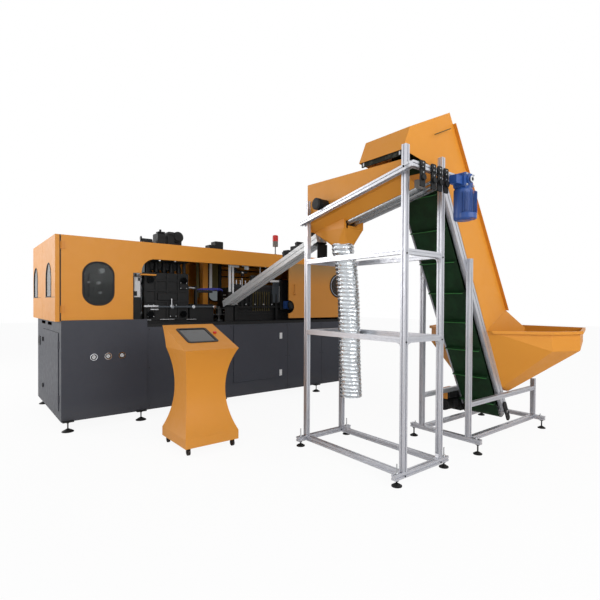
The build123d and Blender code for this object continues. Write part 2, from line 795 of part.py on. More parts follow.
# Blow station above the moulds
column_x = (clamp_left + 40, clamp_right - 40)
beam_low = clamp_top + 110
drive_plate_low = hood_top - drive_plate_drop - drive_plate_thickness
with BuildPart() as blow_frame:
    for y in (clamp_front + 45, clamp_back - 45):
        for x in column_x:
            with BuildSketch(Plane.XY.offset(clamp_top)):
                with Locations((x, y)):
                    Circle(blow_column_radius)
            extrude(amount=drive_plate_low - clamp_top)
    corner_box((clamp_left, clamp_front, drive_plate_low),
               (clamp_right, clamp_back, drive_plate_low + drive_plate_thickness))
write("blow_frame", blow_frame.part)
with BuildPart() as blow_head:
    corner_box((clamp_left, clamp_front, beam_low + 40), (clamp_right, split_y + 120, beam_low + 40 + 60))
    corner_box((clamp_left + 90, split_y - 70, beam_low - 60),
               (clamp_right - 90, split_y + 70, beam_low + 40))
    with BuildSketch(Plane.XY.offset(beam_low + 30)):
        with Locations(*[(x, clamp_front + 45) for x in column_x]):
            Circle(blow_column_radius + 0.05)
    extrude(amount=80, mode=Mode.SUBTRACT)
    with BuildSketch(Plane.XY.offset(clamp_top + 10 - 80)):
        with Locations(*[(x, split_y) for x in cavity_x]):
            Circle(blow_nozzle_radius)
    extrude(amount=beam_low - 60 - clamp_top - 10 + 80)
write("blow_head", blow_head.part)

# Drives that stand through the roof over the moulding station, and fans on the roof
motor_z = drive_plate_low + drive_plate_thickness
drive_front = clamp_front + 50
drive_back = clamp_front + 240
with BuildPart() as stretch_drive:
    corner_box((clamp_left + 315, drive_front, motor_z), (clamp_left + 400, drive_back, motor_z + 216))
    corner_box((clamp_left + 400, drive_front + 30, motor_z), (clamp_left + 510, drive_back, motor_z + 120))
    with BuildSketch(Plane.XZ.offset(-drive_front)):
        with Locations((clamp_left + 452, motor_z + 162)):
            Circle(68)
    extrude(amount=-(drive_back - drive_front))
drive_pieces = [stretch_drive.part]
with BuildPart() as valve_drive:
    corner_box((clamp_left + 185, drive_front + 10, motor_z), (clamp_left + 285, drive_back, motor_z + 196))
    fillet(valve_drive.edges().group_by(Axis.Z)[-1], 16)
drive_pieces.append(valve_drive.part)
with BuildPart() as air_drive:
    corner_box((clamp_left + 10, drive_front + 10, motor_z), (clamp_left + 130, drive_back, motor_z + 70))
    with BuildSketch(Plane.YZ.offset(clamp_left + 2)):
        with Locations((drive_front + 90, motor_z + 76)):
            Circle(40)
    extrude(amount=134)
drive_pieces.append(air_drive.part)
for x0, x1, fan_height in ((1765, 1852, 78), (1852, 1976, 134), (3100, 3196, 118), (3246, 3336, 196)):
    with BuildPart() as roof_fan:
        corner_box((x0, drive_front, hood_top), (x1, drive_front + 130, hood_top + fan_height))
        fillet(roof_fan.edges().group_by(Axis.Z)[-1], 12)
    drive_pieces.append(roof_fan.part)
top_drives = group("top_drives", drive_pieces)
write("top_drives", top_drives)

# Heating tunnel: two reflector boxes with quartz lamps between them
oven_right = oven_left + oven_length
oven_base = bed_top + 60
oven_back_box = oven_front + oven_box_depth + oven_channel
with BuildPart() as heating_oven:
    corner_box((oven_left, oven_front, bed_top), (oven_right, oven_back_box + oven_box_depth, oven_base))
    for y in (oven_front, oven_back_box):
        corner_box((oven_left, y, oven_base), (oven_right, y + oven_box_depth, oven_base + oven_height))
        with BuildSketch(Plane.XZ.offset(-y)):
            with GridLocations(150, 0, 9, 1):
                with Locations(((oven_left + oven_right) / 2, oven_base + oven_height / 2)):
                    SlotOverall(oven_height - 120, 40, rotation=90)
        extrude(amount=-12, mode=Mode.SUBTRACT)
write("heating_oven", heating_oven.part)
lamp_pieces = []
for i in range(lamp_tube_count):
    with BuildPart() as lamp_tube:
        z = oven_base + 70 + i * 50
        with BuildSketch(Plane.YZ.offset(oven_left + 20)):
            with Locations((oven_back_box - lamp_tube_radius, z)):
                Circle(lamp_tube_radius)
        extrude(amount=oven_length - 40)
    lamp_pieces.append(lamp_tube.part)
oven_lamps = group("oven_lamps", lamp_pieces)
write("oven_lamps", oven_lamps)

# Feed wheel that takes each preform from the rail's end
with BuildPart() as feed_wheel_stand:
    with BuildSketch(Plane.XY.offset(bed_top)):
        with Locations((wheel_x, wheel_y)):
            Circle(60)
    extrude(amount=24)
    with BuildSketch(Plane.XY.offset(bed_top + 24)):
        with Locations((wheel_x, wheel_y)):
            Circle(22)
    extrude(amount=190)
write("feed_wheel_stand", feed_wheel_stand.part)
with BuildPart() as feed_wheel:
    for z in (bed_top + 90, bed_top + 176):
        with BuildSketch(Plane.XY.offset(z)):
            with Locations((wheel_x, wheel_y)):
                Circle(wheel_radius)
                Circle(22.05, mode=Mode.SUBTRACT)
                with PolarLocations(wheel_radius, wheel_pockets):
                    Circle(pocket_radius, mode=Mode.SUBTRACT)
        extrude(amount=12)
    with BuildSketch(Plane.XY.offset(bed_top + 90)):
        with Locations((wheel_x, wheel_y)):
            Circle(44)
            Circle(22.05, mode=Mode.SUBTRACT)
    extrude(amount=98)
write("feed_wheel", feed_wheel.part)

# Operator console: waisted sheet metal pedestal with a sloping top
console_left = console_x - console_width / 2
console_right = console_x + console_width / 2
console_front = console_y - console_depth / 2
console_back = console_y + console_depth / 2
console_tilt = atan((console_back_height - console_front_height) / console_depth)


def waisted_profile(low, high, inset, floor, high_top):
    """Side outline of the pedestal between two edges, drawn in on both sides."""
    low_middle = (console_plinth_top + console_front_height) / 2
    high_middle = (console_plinth_top + high_top) / 2
    with BuildLine() as outline:
        left_side = ThreePointArc((low, console_plinth_top), (low + inset, low_middle),
                                  (low, console_front_height))
        cap = Polyline(left_side @ 1, (low, console_back_height + 20), (high, console_back_height + 20),
                       (high, high_top))
        right_side = ThreePointArc(cap @ 1, (high - inset, high_middle), (high, console_plinth_top))
        Polyline(right_side @ 1, (high, floor), (low, floor), (low, console_plinth_top))
    return outline.wire()


def console_block(margin):
    """The pedestal's solid form, smaller by a margin on every side."""
    floor = console_plinth_bottom + margin
    with BuildPart() as block:
        with BuildSketch(Plane.XZ.offset(-console_front - margin)):
            make_face(waisted_profile(console_left + margin, console_right - margin,
                                      console_waist_inset, floor, console_front_height).edges())
        extrude(amount=-(console_depth - 2 * margin))
        with BuildSketch(Plane.YZ.offset(console_left)):
            make_face(waisted_profile(console_front + margin, console_back - margin,
                                      console_depth_inset, floor, console_back_height).edges())
        extrude(amount=console_width, mode=Mode.INTERSECT)
        top_plane = Plane(origin=(console_x, console_front, console_front_height - margin),
                          x_dir=(1, 0, 0), z_dir=(0, -sin(console_tilt), cos(console_tilt)))
        split(bisect_by=top_plane, keep=Keep.BOTTOM)
    return block.part


top_face_plane = Plane(origin=(console_x, console_y, (console_front_height + console_back_height) / 2),
                       x_dir=(1, 0, 0), z_dir=(0, -sin(console_tilt), cos(console_tilt)))
screen_width = 300.0
screen_height = 330.0
with BuildPart() as console_body:
    add(console_block(0))
    add(console_block(sheet), mode=Mode.SUBTRACT)
    with BuildSketch(top_face_plane.offset(-2 * sheet)):
        with Locations((-20, 30)):
            RectangleRounded(screen_width, screen_height, 20)
        with Locations((185, 60)):
            Circle(button_radius * 0.6 + 0.05)
    extrude(amount=4 * sheet, mode=Mode.SUBTRACT)
write("console_body", console_body.part)
with BuildPart() as console_bezel:
    with BuildSketch(top_face_plane):
        with Locations((-20, 30)):
            RectangleRounded(screen_width + 26, screen_height + 26, 34)
    extrude(amount=6)
    with BuildSketch(top_face_plane):
        with Locations((-20, 30)):
            RectangleRounded(screen_width - 24, screen_height - 24, 20)
    extrude(amount=6, mode=Mode.SUBTRACT)
    chamfer(console_bezel.faces().sort_by(Axis.Z)[-1].outer_wire().edges(), 2)
write("console_bezel", console_bezel.part)
with BuildPart() as console_display:
    with BuildSketch(top_face_plane.offset(-30)):
        with Locations((-20, 30)):
            RectangleRounded(screen_width - 10, screen_height - 10, 18)
    extrude(amount=30)
write("console_display", console_display.part)
with BuildPart() as stop_button:
    with BuildSketch(top_face_plane.offset(button_travel + 2)):
        with Locations((185, 60)):
            Circle(button_radius)
    extrude(amount=12)
    fillet(stop_button.edges().group_by(Axis.Z)[-1], 3)
    with BuildSketch(top_face_plane.offset(-24)):
        with Locations((185, 60)):
            Circle(button_radius * 0.6)
    extrude(amount=26 + button_travel)
write("stop_button", stop_button.part)

castor_pieces = []
for x in (console_left + 45, console_right - 45):
    for y in (console_front + 45, console_back - 45):
        with BuildPart() as castor:
            corner_box((x - 24, y - 24, console_plinth_bottom - 5), (x + 24, y + 24, console_plinth_bottom))
            for side in (-1, 1):
                corner_box((x + side * 15 - 2, y - 13, castor_radius - 6),
                           (x + side * 15 + 2, y + 13, console_plinth_bottom - 5))
            with BuildSketch(Plane.YZ.offset(x - castor_width / 2)):
                with Locations((y, castor_radius)):
                    Circle(castor_radius)
            extrude(amount=castor_width)
            with BuildSketch(Plane.YZ.offset(x - 17)):
                with Locations((y, castor_radius)):
                    Circle(5)
            extrude(amount=34)
        castor_pieces.append(castor.part)
console_castors = group("console_castors", castor_pieces)
write("console_castors", console_castors)

# Unscrambler stand: slotted profiles butted together
post_x = (stand_left + profile / 2, stand_right - profile / 2)
post_y = (stand_front + profile / 2, stand_back - profile / 2)
base_mid = stand_base_top - profile / 2
stand_pieces = []
for x in post_x:
    for y, height in zip(post_y, (stand_front_height, stand_back_height)):
        stand_pieces.append(bar((x, y, stand_base_top), (x, y, height), up=(0, 1, 0)))
for y in post_y:
    stand_pieces.append(bar((stand_left - stand_base_overhang, y, base_mid),
                            (stand_right + stand_base_overhang, y, base_mid)))
    for z in (stand_upper_rail, stand_middle_rail):
        stand_pieces.append(bar((stand_left + profile, y, z - profile / 2),
                                (stand_right - profile, y, z - profile / 2)))
for x in post_x:
    for z in (stand_base_top, stand_middle_rail, stand_upper_rail):
        stand_pieces.append(bar((x, stand_front + profile, z - profile / 2),
                                (x, stand_back - profile, z - profile / 2)))
stand_frame = group("stand_frame", stand_pieces)
write("stand_frame", stand_frame)

# Sloping rails that carry the trough, fixed to the outside of the posts
rail_near = stand_front - trough_near_out
rail_far = stand_back + trough_far_out
slope_pieces = []
for x in (stand_left - profile / 2, stand_right + profile / 2):
    slope_pieces.append(bar((x, rail_near, slope_z(rail_near) - profile / 2),
                            (x, rail_far, slope_z(rail_far) - profile / 2)))
cross_y = rail_near - profile / 2
cross_z = slope_z(rail_near) - profile / 2
slope_pieces.append(bar((stand_left - profile, cross_y, cross_z), (stand_right + 240, cross_y, cross_z)))
trough_rails = group("trough_rails", slope_pieces)
write("trough_rails", trough_rails)

# Trough: two tall walls, floor strips falling to the rollers, and the waste funnel
roller_left_x = roller_x - roller_spacing / 2
roller_right_x = roller_x + roller_spacing / 2
trough_far_y = stand_back + 12


def floor_strip(x_outer, x_inner, inner_drop, y0, y1):
    """A floor strip falling from a wall's foot towards the rollers."""
    with BuildPart() as strip:
        for y in (y0, y1):
            z = slope_z(y)
            with BuildSketch(Plane(origin=(0, y, 0), x_dir=(1, 0, 0), z_dir=(0, -1, 0))):
                with BuildLine():
                    Polyline((x_outer, z - floor_start), (x_inner, z - inner_drop),
                             (x_inner, z - inner_drop - sheet), (x_outer, z - floor_start - sheet),
                             close=True)
                make_face()
        loft()
    return strip.part


kicker_shaft_radius = 10.0
trough_pieces = []
for x in (trough_left, trough_right - sheet):
    with BuildPart() as trough_wall:
        with BuildSketch(Plane.YZ.offset(x)):
            with BuildLine():
                Polyline((trough_end_y, trough_top - 20), (trough_far_y, trough_top + 20),
                         (trough_far_y, slope_z(trough_far_y) - floor_start - sheet),
                         (trough_end_y, slope_z(trough_end_y) - floor_start - sheet), close=True)
            make_face()
            if x == trough_left:
                with Locations((kicker_y, kicker_z)):
                    Circle(kicker_shaft_radius + 2, mode=Mode.SUBTRACT)
        extrude(amount=sheet)
    trough_pieces.append(trough_wall.part)
funnel_left = trough_centre - funnel_half
funnel_right = trough_centre + funnel_half
for x_outer, x_rollers, x_funnel in ((trough_left + sheet, roller_left_x - roller_radius - 2, funnel_left),
                                     (trough_right - sheet, roller_right_x + roller_radius + 2,
                                      funnel_right)):
    trough_pieces.append(floor_strip(x_outer, x_rollers, floor_drop, trough_end_y, funnel_near))
    trough_pieces.append(floor_strip(x_outer, x_funnel, funnel_drop, funnel_near, trough_far_y - sheet))
key_x = (roller_left_x + roller_right_x) / 2
key_half = roller_spacing / 2 + roller_radius + 9
with BuildPart() as funnel_band:
    with BuildSketch(Plane.YZ.offset(funnel_left)):
        with BuildLine():
            Polyline((funnel_near, funnel_base), (trough_far_y, funnel_base),
                     (trough_far_y, slope_z(trough_far_y) - funnel_drop - sheet),
                     (funnel_near, slope_z(funnel_near) - funnel_drop - sheet), close=True)
        make_face()
    extrude(amount=2 * funnel_half)
    corner_box((funnel_left + sheet, funnel_near + sheet, funnel_base - 1),
               (funnel_right - sheet, trough_far_y - sheet, trough_top), mode=Mode.SUBTRACT)
    with BuildSketch(Plane.XZ.offset(-funnel_near)):
        with Locations((key_x, slope_z(funnel_near) - roller_drop)):
            SlotOverall(2 * key_half, 2 * roller_radius + 18)
        with Locations((key_x - 62, slope_z(funnel_near) - roller_drop - 50)):
            SlotOverall(70, 20, rotation=90)
    extrude(amount=-2 * sheet, mode=Mode.SUBTRACT)
trough_pieces.append(funnel_band.part)
with BuildPart() as trough_end:
    corner_box((trough_left + sheet, trough_far_y - sheet, slope_z(trough_far_y) - funnel_drop - sheet),
               (trough_right - sheet, trough_far_y, trough_top))
    corner_box((key_x - key_half, trough_far_y - 2 * sheet, slope_z(trough_far_y) - funnel_drop + 4),
               (key_x + key_half, trough_far_y + sheet, slope_z(trough_far_y) - 10), mode=Mode.SUBTRACT)
trough_pieces.append(trough_end.part)


def funnel_solid(shrink):
    """The tapering lower part of the funnel, down to its round neck."""
    with BuildPart() as taper:
        with BuildSketch(Plane.XY.offset(funnel_base)):
            with Locations((trough_centre, (funnel_near + trough_far_y) / 2)):
                RectangleRounded(2 * funnel_half - 2 * shrink, trough_far_y - funnel_near - 2 * shrink, 12)
        with BuildSketch(Plane.XY.offset(neck_bottom + neck_height)):
            with Locations((neck_x, neck_y)):
                RectangleRounded(2 * neck_radius - 2 * shrink, 2 * neck_radius - 2 * shrink,
                                 0.8 * (neck_radius - shrink))
        loft()
    return taper.part


with BuildPart() as funnel_taper:
    add(funnel_solid(0))
    add(funnel_solid(sheet), mode=Mode.SUBTRACT)
trough_pieces.append(funnel_taper.part)
trough = group("trough", trough_pieces)
write("trough", trough)

# Round neck under the funnel and the ribbed foil duct clamped on it
with BuildPart() as duct_collar:
    with BuildSketch(Plane.XY.offset(neck_bottom)):
        with Locations((neck_x, neck_y)):
            Circle(neck_radius)
            Circle(neck_radius - sheet, mode=Mode.SUBTRACT)
    extrude(amount=neck_height)
with BuildPart() as foil_duct:
    with BuildSketch(Plane.XZ.offset(-neck_y)):
        with BuildLine():
            rib_count = int(duct_length / duct_pitch)
            inner = duct_radius - duct_wall + 1
            points = [(neck_x + duct_radius, duct_top)]
            for i in range(rib_count):
                z = duct_top - i * duct_pitch
                points.append((neck_x + duct_radius + duct_rib, z - duct_pitch / 2))
                points.append((neck_x + duct_radius, z - duct_pitch))
            Polyline(*points, (neck_x + inner, duct_top - rib_count * duct_pitch), (neck_x + inner, duct_top),
                     close=True)
        make_face()
    revolve(axis=Axis((neck_x, neck_y, 0), (0, 0, 1)))
waste_duct = group("waste_duct", [duct_collar.part, foil_duct.part])
write("waste_duct", waste_duct)

# Two counter-rotating rollers, in the trough's own sloping frame
cross_front = cross_y - profile / 2
roller_start_y = cross_front - plate_thickness - 6
roller_start_z = slope_z(roller_start_y) - roller_drop
roller_direction = Vector(0, 1, -trough_fall).normalized()
body_start = (trough_end_y + 4 - roller_start_y) / roller_direction.Y
body_end = (roller_far_y - roller_start_y) / roller_direction.Y
for roller_name, x in (("roller_left", roller_left_x), ("roller_right", roller_right_x)):
    roller_plane = Plane(origin=(x, roller_start_y, roller_start_z), x_dir=(1, 0, 0), z_dir=roller_direction)
    with BuildPart() as roller:
        with BuildSketch(roller_plane):
            Circle(roller_shaft_radius)
        extrude(amount=body_end + 44)
        with BuildSketch(roller_plane.offset(body_start)):
            Circle(roller_radius)
        extrude(amount=body_end - body_start)
    write(roller_name, roller.part)

# Black bearing plates on the cross rail, and the rollers' far bearing bar
plate_top = slope_z(rail_near) - plate_top_drop
bearing_pieces = []
for x in (roller_x - 180, roller_left_x, roller_right_x, roller_right_x + 84):
    with BuildPart() as bearing_plate:
        with BuildSketch(Plane.XZ.offset(-cross_front)):
            with Locations((x, plate_top - plate_height / 2)):
                RectangleRounded(plate_width, plate_height, 8)
        extrude(amount=plate_thickness)
        if x in (roller_left_x, roller_right_x):
            with BuildSketch(Plane(origin=(x, roller_start_y, roller_start_z), z_dir=roller_direction)):
                Circle(roller_shaft_radius + 0.05)
            extrude(amount=60, mode=Mode.SUBTRACT)
    bearing_pieces.append(bearing_plate.part)
bar_y = roller_far_y + 14
bar_z = slope_z(bar_y) - roller_drop
with BuildPart() as far_bearing:
    corner_box((funnel_left + sheet, bar_y, funnel_base),
               (funnel_right - sheet, bar_y + 14, funnel_base + 18))
    for x in (roller_left_x, roller_right_x):
        corner_box((x - 22, bar_y, bar_z - 26), (x + 22, bar_y + 14, funnel_base))
        with BuildSketch(Plane(origin=(x, roller_start_y, roller_start_z), z_dir=roller_direction)):
            Circle(roller_shaft_radius + 0.05)
        extrude(amount=body_end + 80, mode=Mode.SUBTRACT)
bearing_pieces.append(far_bearing.part)

# Gear unit on the cross rail and its hanging motor
gear_x = 2290.0
gear_z = trough_mid_z + 31
gear_y = cross_front - 52
motor_x = 2296.0
motor_bottom = gear_z - 324
motor_height = 248.0
motor_radius = 78.0
motor_shoulder_taper = 36
with BuildPart() as roller_gearmotor:
    with BuildSketch(Plane.XZ.offset(-cross_front)):
        with Locations((gear_x, gear_z)):
            RectangleRounded(128, 122, 18)
    extrude(amount=104)
    with BuildSketch(Plane.XZ.offset(-cross_front + 104)):
        with Locations((gear_x + 6, gear_z + 6)):
            Circle(40)
    extrude(amount=12)
    corner_box((roller_right_x + roller_spacing + plate_width / 2 + 2, gear_y - 34, gear_z - 40),
               (gear_x, gear_y + 34, gear_z + 28))
    with BuildSketch(Plane.XY.offset(motor_bottom)):
        with Locations((motor_x, gear_y)):
            Circle(motor_radius)
    extrude(amount=motor_height)
    with BuildSketch(Plane.XY.offset(motor_bottom + motor_height)):
        with Locations((motor_x, gear_y)):
            Circle(motor_radius)
    extrude(amount=30, taper=motor_shoulder_taper)
    fillet(roller_gearmotor.edges().group_by(Axis.Z)[0], 22)
write("roller_gearmotor", roller_gearmotor.part)

# Kicker that levels the preforms, driven through the left wall
with BuildPart() as kicker_motor:
    with BuildSketch(Plane.YZ.offset(trough_left)):
        with Locations((kicker_y, kicker_z)):
            Circle(kicker_radius)
    extrude(amount=-130)
    fillet(kicker_motor.edges().group_by(Axis.X)[0], 10)
    with BuildSketch(Plane.YZ.offset(trough_left)):
        with Locations((kicker_y, kicker_z)):
            Circle(kicker_shaft_radius + 0.05)
    extrude(amount=-34, mode=Mode.SUBTRACT)
write("kicker_motor", kicker_motor.part)
with BuildPart() as kicker_wheel:
    with BuildSketch(Plane.YZ.offset(trough_left - 30)):
        with Locations((kicker_y, kicker_z)):
            Circle(kicker_shaft_radius)
    extrude(amount=290)
    for i in range(6):
        with BuildSketch(Plane.YZ.offset(trough_centre - 60)):
            with Locations((kicker_y, kicker_z)):
                with Locations(Rotation(0, 0, i * 60)):
                    with Locations((kicker_wheel_radius / 2, 0)):
                        Rectangle(kicker_wheel_radius, 8)
        extrude(amount=120)
write("kicker_wheel", kicker_wheel.part)

# Gravity rail down to the machine
rail_offset = (rail_gap + profile) / 2
gravity_pieces = []
for side in (-1, 1):
    gravity_pieces.append(bar((roller_x + side * rail_offset, rail_top_y, rail_top_z),
                              (roller_x + side * rail_offset, rail_bottom_y, rail_bottom_z),
                              profile, rail_height))
gravity_rail = group("gravity_rail", gravity_pieces)
write("gravity_rail", gravity_rail)
rail_fall = atan((rail_top_z - rail_bottom_z) / (rail_bottom_y - rail_top_y))
rail_length = (rail_bottom_y - rail_top_y) / cos(rail_fall)
guide_plane = Plane(origin=(roller_x, rail_top_y, rail_top_z), x_dir=(1, 0, 0),
                    z_dir=(0, cos(rail_fall), -sin(rail_fall)))
arch_pieces = []
for i in range(rail_bracket_count):
    place = 60 + i * (260 if i < 3 else 0) + (rail_length - 900 if i == 3 else 0)
    with BuildPart() as arch:
        with BuildSketch(guide_plane.offset(place)):
            with Locations((0, -(rail_height / 2 + 30))):
                Rectangle(rail_gap + 2 * profile, 60)
            with Locations((0, -(rail_height / 2 + 22))):
                Rectangle(rail_gap + 30, 44, mode=Mode.SUBTRACT)
        extrude(amount=40)
    arch_pieces.append(arch.part)
rest_width = rail_gap + 2 * profile
for place, low_y, high_y, low_z in ((0.0, stand_back, stand_back + 8, stand_upper_rail - profile),
                                    (rail_length - 90, 62.0, 74.0, bed_top)):
    rest_y = rail_top_y + (place + 30) * cos(rail_fall)
    rest_z = rail_top_z - (place + 30) * sin(rail_fall) - (rail_height / 2 + 5) / cos(rail_fall)
    with BuildPart() as rail_rest:
        with BuildSketch(guide_plane.offset(place)):
            with Locations((0, rail_height / 2 + 4)):
                Rectangle(rest_width, 8)
        extrude(amount=70)
        corner_box((roller_x - rest_width / 2, low_y, low_z), (roller_x + rest_width / 2, high_y, rest_z - 2))
        if place == 0:
            corner_box((roller_x - rest_width / 2, low_y, rest_z - 10),
                       (roller_x + rest_width / 2, rest_y, rest_z - 2))
    arch_pieces.append(rail_rest.part)
rail_brackets = group("rail_brackets", arch_pieces)
write("rail_brackets", rail_brackets)

# Elevator stand
lift_post_x = (elevator_left + profile / 2, elevator_right - profile / 2)
lift_post_y = (elevator_front + profile / 2, elevator_back - profile / 2)
lift_base = elevator_base_top - profile / 2
lift_angle = radians(conveyor_angle)
down = Vector(cos(lift_angle), 0, -sin(lift_angle))
normal = Vector(sin(lift_angle), 0, cos(lift_angle))
rail_high = rail_centre + rail_depth / 2
skirt_cut_along = skirt_corner_x * down.X + skirt_corner_z * down.Z


def lift_point(along, level, y):
    """A point given along the conveyor, across it and in depth."""
    return (along * down.X + level * normal.X, y, along * down.Z + level * normal.Z)


lift_pieces = []
for y in lift_post_y:
    lift_pieces.append(bar((lift_post_x[0], y, elevator_base_top), (lift_post_x[0], y, elevator_post_height),
                           up=(0, 1, 0)))
    lift_pieces.append(bar((lift_post_x[1], y, elevator_base_top), (lift_post_x[1], y, 560), up=(0, 1, 0)))
    lift_pieces.append(bar((elevator_left + profile, y, elevator_middle_rail - profile / 2),
                           (elevator_right - profile, y, elevator_middle_rail - profile / 2)))
    lift_pieces.append(bar((elevator_left + profile, y, lift_base), (elevator_right - profile, y, lift_base)))
for x in lift_post_x:
    lift_pieces.append(bar((x, elevator_front - elevator_base_overhang, lift_base),
                           (x, elevator_back + elevator_base_overhang, lift_base)))
lift_frame = group("lift_frame", lift_pieces)
write("lift_frame", lift_frame)

# Inclined side rails of the conveyor
conveyor_near = elevator_front + profile
conveyor_far = elevator_back - profile
shaft_room = drum_shaft_radius + 11
side_pieces = []
for y in (conveyor_near + profile / 2, conveyor_far - profile / 2):
    side_pieces.append(bar(lift_point(head_drum_along + shaft_room, rail_centre, y),
                           lift_point(tail_drum_along - shaft_room, rail_centre, y),
                           profile, rail_depth, up=(normal.X, normal.Y, normal.Z)))
conveyor_rails = group("conveyor_rails", side_pieces)
write("conveyor_rails", conveyor_rails)

# Orange side skirts and the discharge head, each folded from sheet
head_left_x = 1872.0
head_left_z = 2690.0
head_fold_x = 1958.0
head_fold_z = 2897.0
apex_x = 2528.0
apex_z = 3173.0
skirt_lap = 10.0
skirt_cut = lift_point(skirt_cut_along, rail_high - skirt_lap, 0)
head_back = lift_point(-1080.0, rail_high - skirt_lap, 0)
skirt_outline = [(skirt_corner_x, skirt_corner_z), (skirt_cut[0], skirt_cut[2]),
                 (head_back[0], head_back[2]), (head_left_x + 330, head_left_z - 50),
                 (head_left_x, head_left_z), (head_fold_x, head_fold_z), (apex_x, apex_z)]
flange_run = Vector(skirt_corner_x - apex_x, 0, skirt_corner_z - apex_z)
flange_start = Vector(apex_x, 0, apex_z) + flange_run * 0.05


def skirt(y, flange_to):
    """One side sheet with its outward flange along the upper edge."""
    with BuildPart() as plate:
        with BuildSketch(Plane.XZ.offset(-y)):
            with BuildLine():
                Polyline(*skirt_outline, close=True)
            make_face()
        extrude(amount=-sheet)
        corner_box((elevator_left - 1, y - 1, 0), (elevator_left + profile + 1, y + sheet + 1,
                                                   elevator_post_height + 1), mode=Mode.SUBTRACT)
        flange_plane = Plane(origin=flange_start, x_dir=(0, 1, 0), z_dir=flange_run.normalized())
        with BuildSketch(flange_plane):
            with Locations(((y + flange_to) / 2, 0)):
                Rectangle(abs(flange_to - y), sheet)
        extrude(amount=flange_run.length * 0.95)
    return plate.part


skirt_pieces = [skirt(conveyor_near - sheet, conveyor_near - sheet - skirt_flange),
                skirt(conveyor_far, conveyor_far + sheet + skirt_flange)]
with BuildPart() as head_cover:
    with BuildSketch(Plane.XZ.offset(-conveyor_near)):
        with BuildLine():
            Polyline((head_left_x, head_left_z), (head_fold_x, head_fold_z), (apex_x, apex_z),
                     (apex_x + 4, apex_z - 7), (head_fold_x + 2.5, head_fold_z - 5),
                     (head_left_x + 3, head_left_z), close=True)
        make_face()
    extrude(amount=-(conveyor_far - conveyor_near))
elevator_housing = group("elevator_housing", skirt_pieces + [head_cover.part])
write("elevator_housing", elevator_housing)

# Cleated belt as one endless loop round both drums
belt_near = (conveyor_near + conveyor_far - belt_width) / 2
run_plane = Plane(origin=(0, belt_near, 0), x_dir=(down.X, 0, down.Z), z_dir=(0, 1, 0))
belt_run = tail_drum_along - head_drum_along


def belt_spot(along, level):
    """A point of the belt's side view in the run plane's own axes."""
    return run_plane.to_local_coords(Vector(*lift_point(along, level, belt_near)))


with BuildPart() as belt:
    middle = belt_spot((head_drum_along + tail_drum_along) / 2, rail_centre)
    outer = drum_radius + belt_thickness
    with BuildSketch(run_plane):
        with Locations((middle.X, middle.Y)):
            SlotCenterToCenter(belt_run, 2 * outer)
            SlotCenterToCenter(belt_run, 2 * (drum_radius + running_gap), mode=Mode.SUBTRACT)
        cleat_side = outer + cleat_height / 2 - 0.5
        cleat_spots = []
        for i in range(cleats_per_run):
            for side in (-1, 1):
                cleat_along = middle.X - belt_run / 2 + cleat_start + i * cleat_spacing
                cleat_spots.append((cleat_along, middle.Y + side * cleat_side))
        with Locations(*cleat_spots):
            Rectangle(cleat_thickness, cleat_height + 1)
    extrude(amount=belt_width)
write("belt", belt.part)

for drum_name, along, shaft_out in (("head_drum", head_drum_along, -2), ("tail_drum", tail_drum_along, 18)):
    centre = lift_point(along, rail_centre, 0)
    with BuildPart() as drum:
        with BuildSketch(Plane.XZ.offset(-belt_near)):
            with Locations((centre[0], centre[2])):
                Circle(drum_radius)
        extrude(amount=-belt_width)
        with BuildSketch(Plane.XZ.offset(-(conveyor_near - shaft_out))):
            with Locations((centre[0], centre[2])):
                Circle(drum_shaft_radius)
        extrude(amount=-(conveyor_far - conveyor_near + 2 * shaft_out))
    write(drum_name, drum.part)

# Hopper: a flared bin folded from sheet, open above and towards the belt
rim_start_x = (rail_high - hopper_rim * normal.Z) / normal.X
rim_start = Vector(rim_start_x, conveyor_near, hopper_rim)
hopper_low = Vector((rail_high - hopper_base * normal.Z) / normal.X, conveyor_near, hopper_base)
hopper_foot = hopper_low + Vector(118, 0, 0)
bin_middle = (conveyor_near + conveyor_far) / 2
rim_near = [(rim_start_x, conveyor_near)]
for x, out, _ in (hopper_fold, hopper_corner, hopper_back):
    rim_near.append((x, conveyor_near - out))
rim_points = rim_near + [(x, 2 * bin_middle - y) for x, y in reversed(rim_near)]
fold_low, corner_low, back_low = [Vector(x, conveyor_near - out, z)
                                  for x, out, z in (hopper_fold, hopper_corner, hopper_back)]


def through(a, b, c, inside):
    """A plane through three points whose normal points to the inside point."""
    across = (b - a).cross(c - a).normalized()
    if across.dot(inside - a) < 0:
        across = across * -1
    return Plane(origin=a, z_dir=across)


def flip(point):
    """The same point on the hopper's far side."""
    return Vector(point.X, 2 * bin_middle - point.Y, point.Z)


bin_inside = Vector((hopper_corner[0] + hopper_back[0]) / 2, bin_middle, hopper_rim - 50)
bin_planes = [Plane.XY.offset(hopper_base)]
for a, b, c in ((rim_start, fold_low, hopper_low), (fold_low, corner_low, hopper_foot),
                (corner_low, back_low, hopper_foot)):
    bin_planes.append(through(a, b, c, bin_inside))
    bin_planes.append(through(flip(a), flip(b), flip(c), bin_inside))
bin_planes.append(through(back_low, flip(back_low), hopper_foot, bin_inside))
belt_side = Plane(origin=lift_point(0, rail_high, bin_middle), z_dir=normal)


def bin_solid(shrink, top):
    """The bin's form bounded by its folded sheets, moved in by a thickness."""
    with BuildPart() as form:
        with BuildSketch(Plane.XY.offset(hopper_low.Z - 40)):
            with BuildLine():
                Polyline(*rim_points, close=True)
            make_face()
            if shrink:
                offset(amount=-shrink)
        extrude(amount=top - hopper_low.Z + 40)
        for plane in bin_planes:
            split(bisect_by=plane.offset(shrink), keep=Keep.TOP)
        split(bisect_by=belt_side, keep=Keep.TOP)
    return form.part


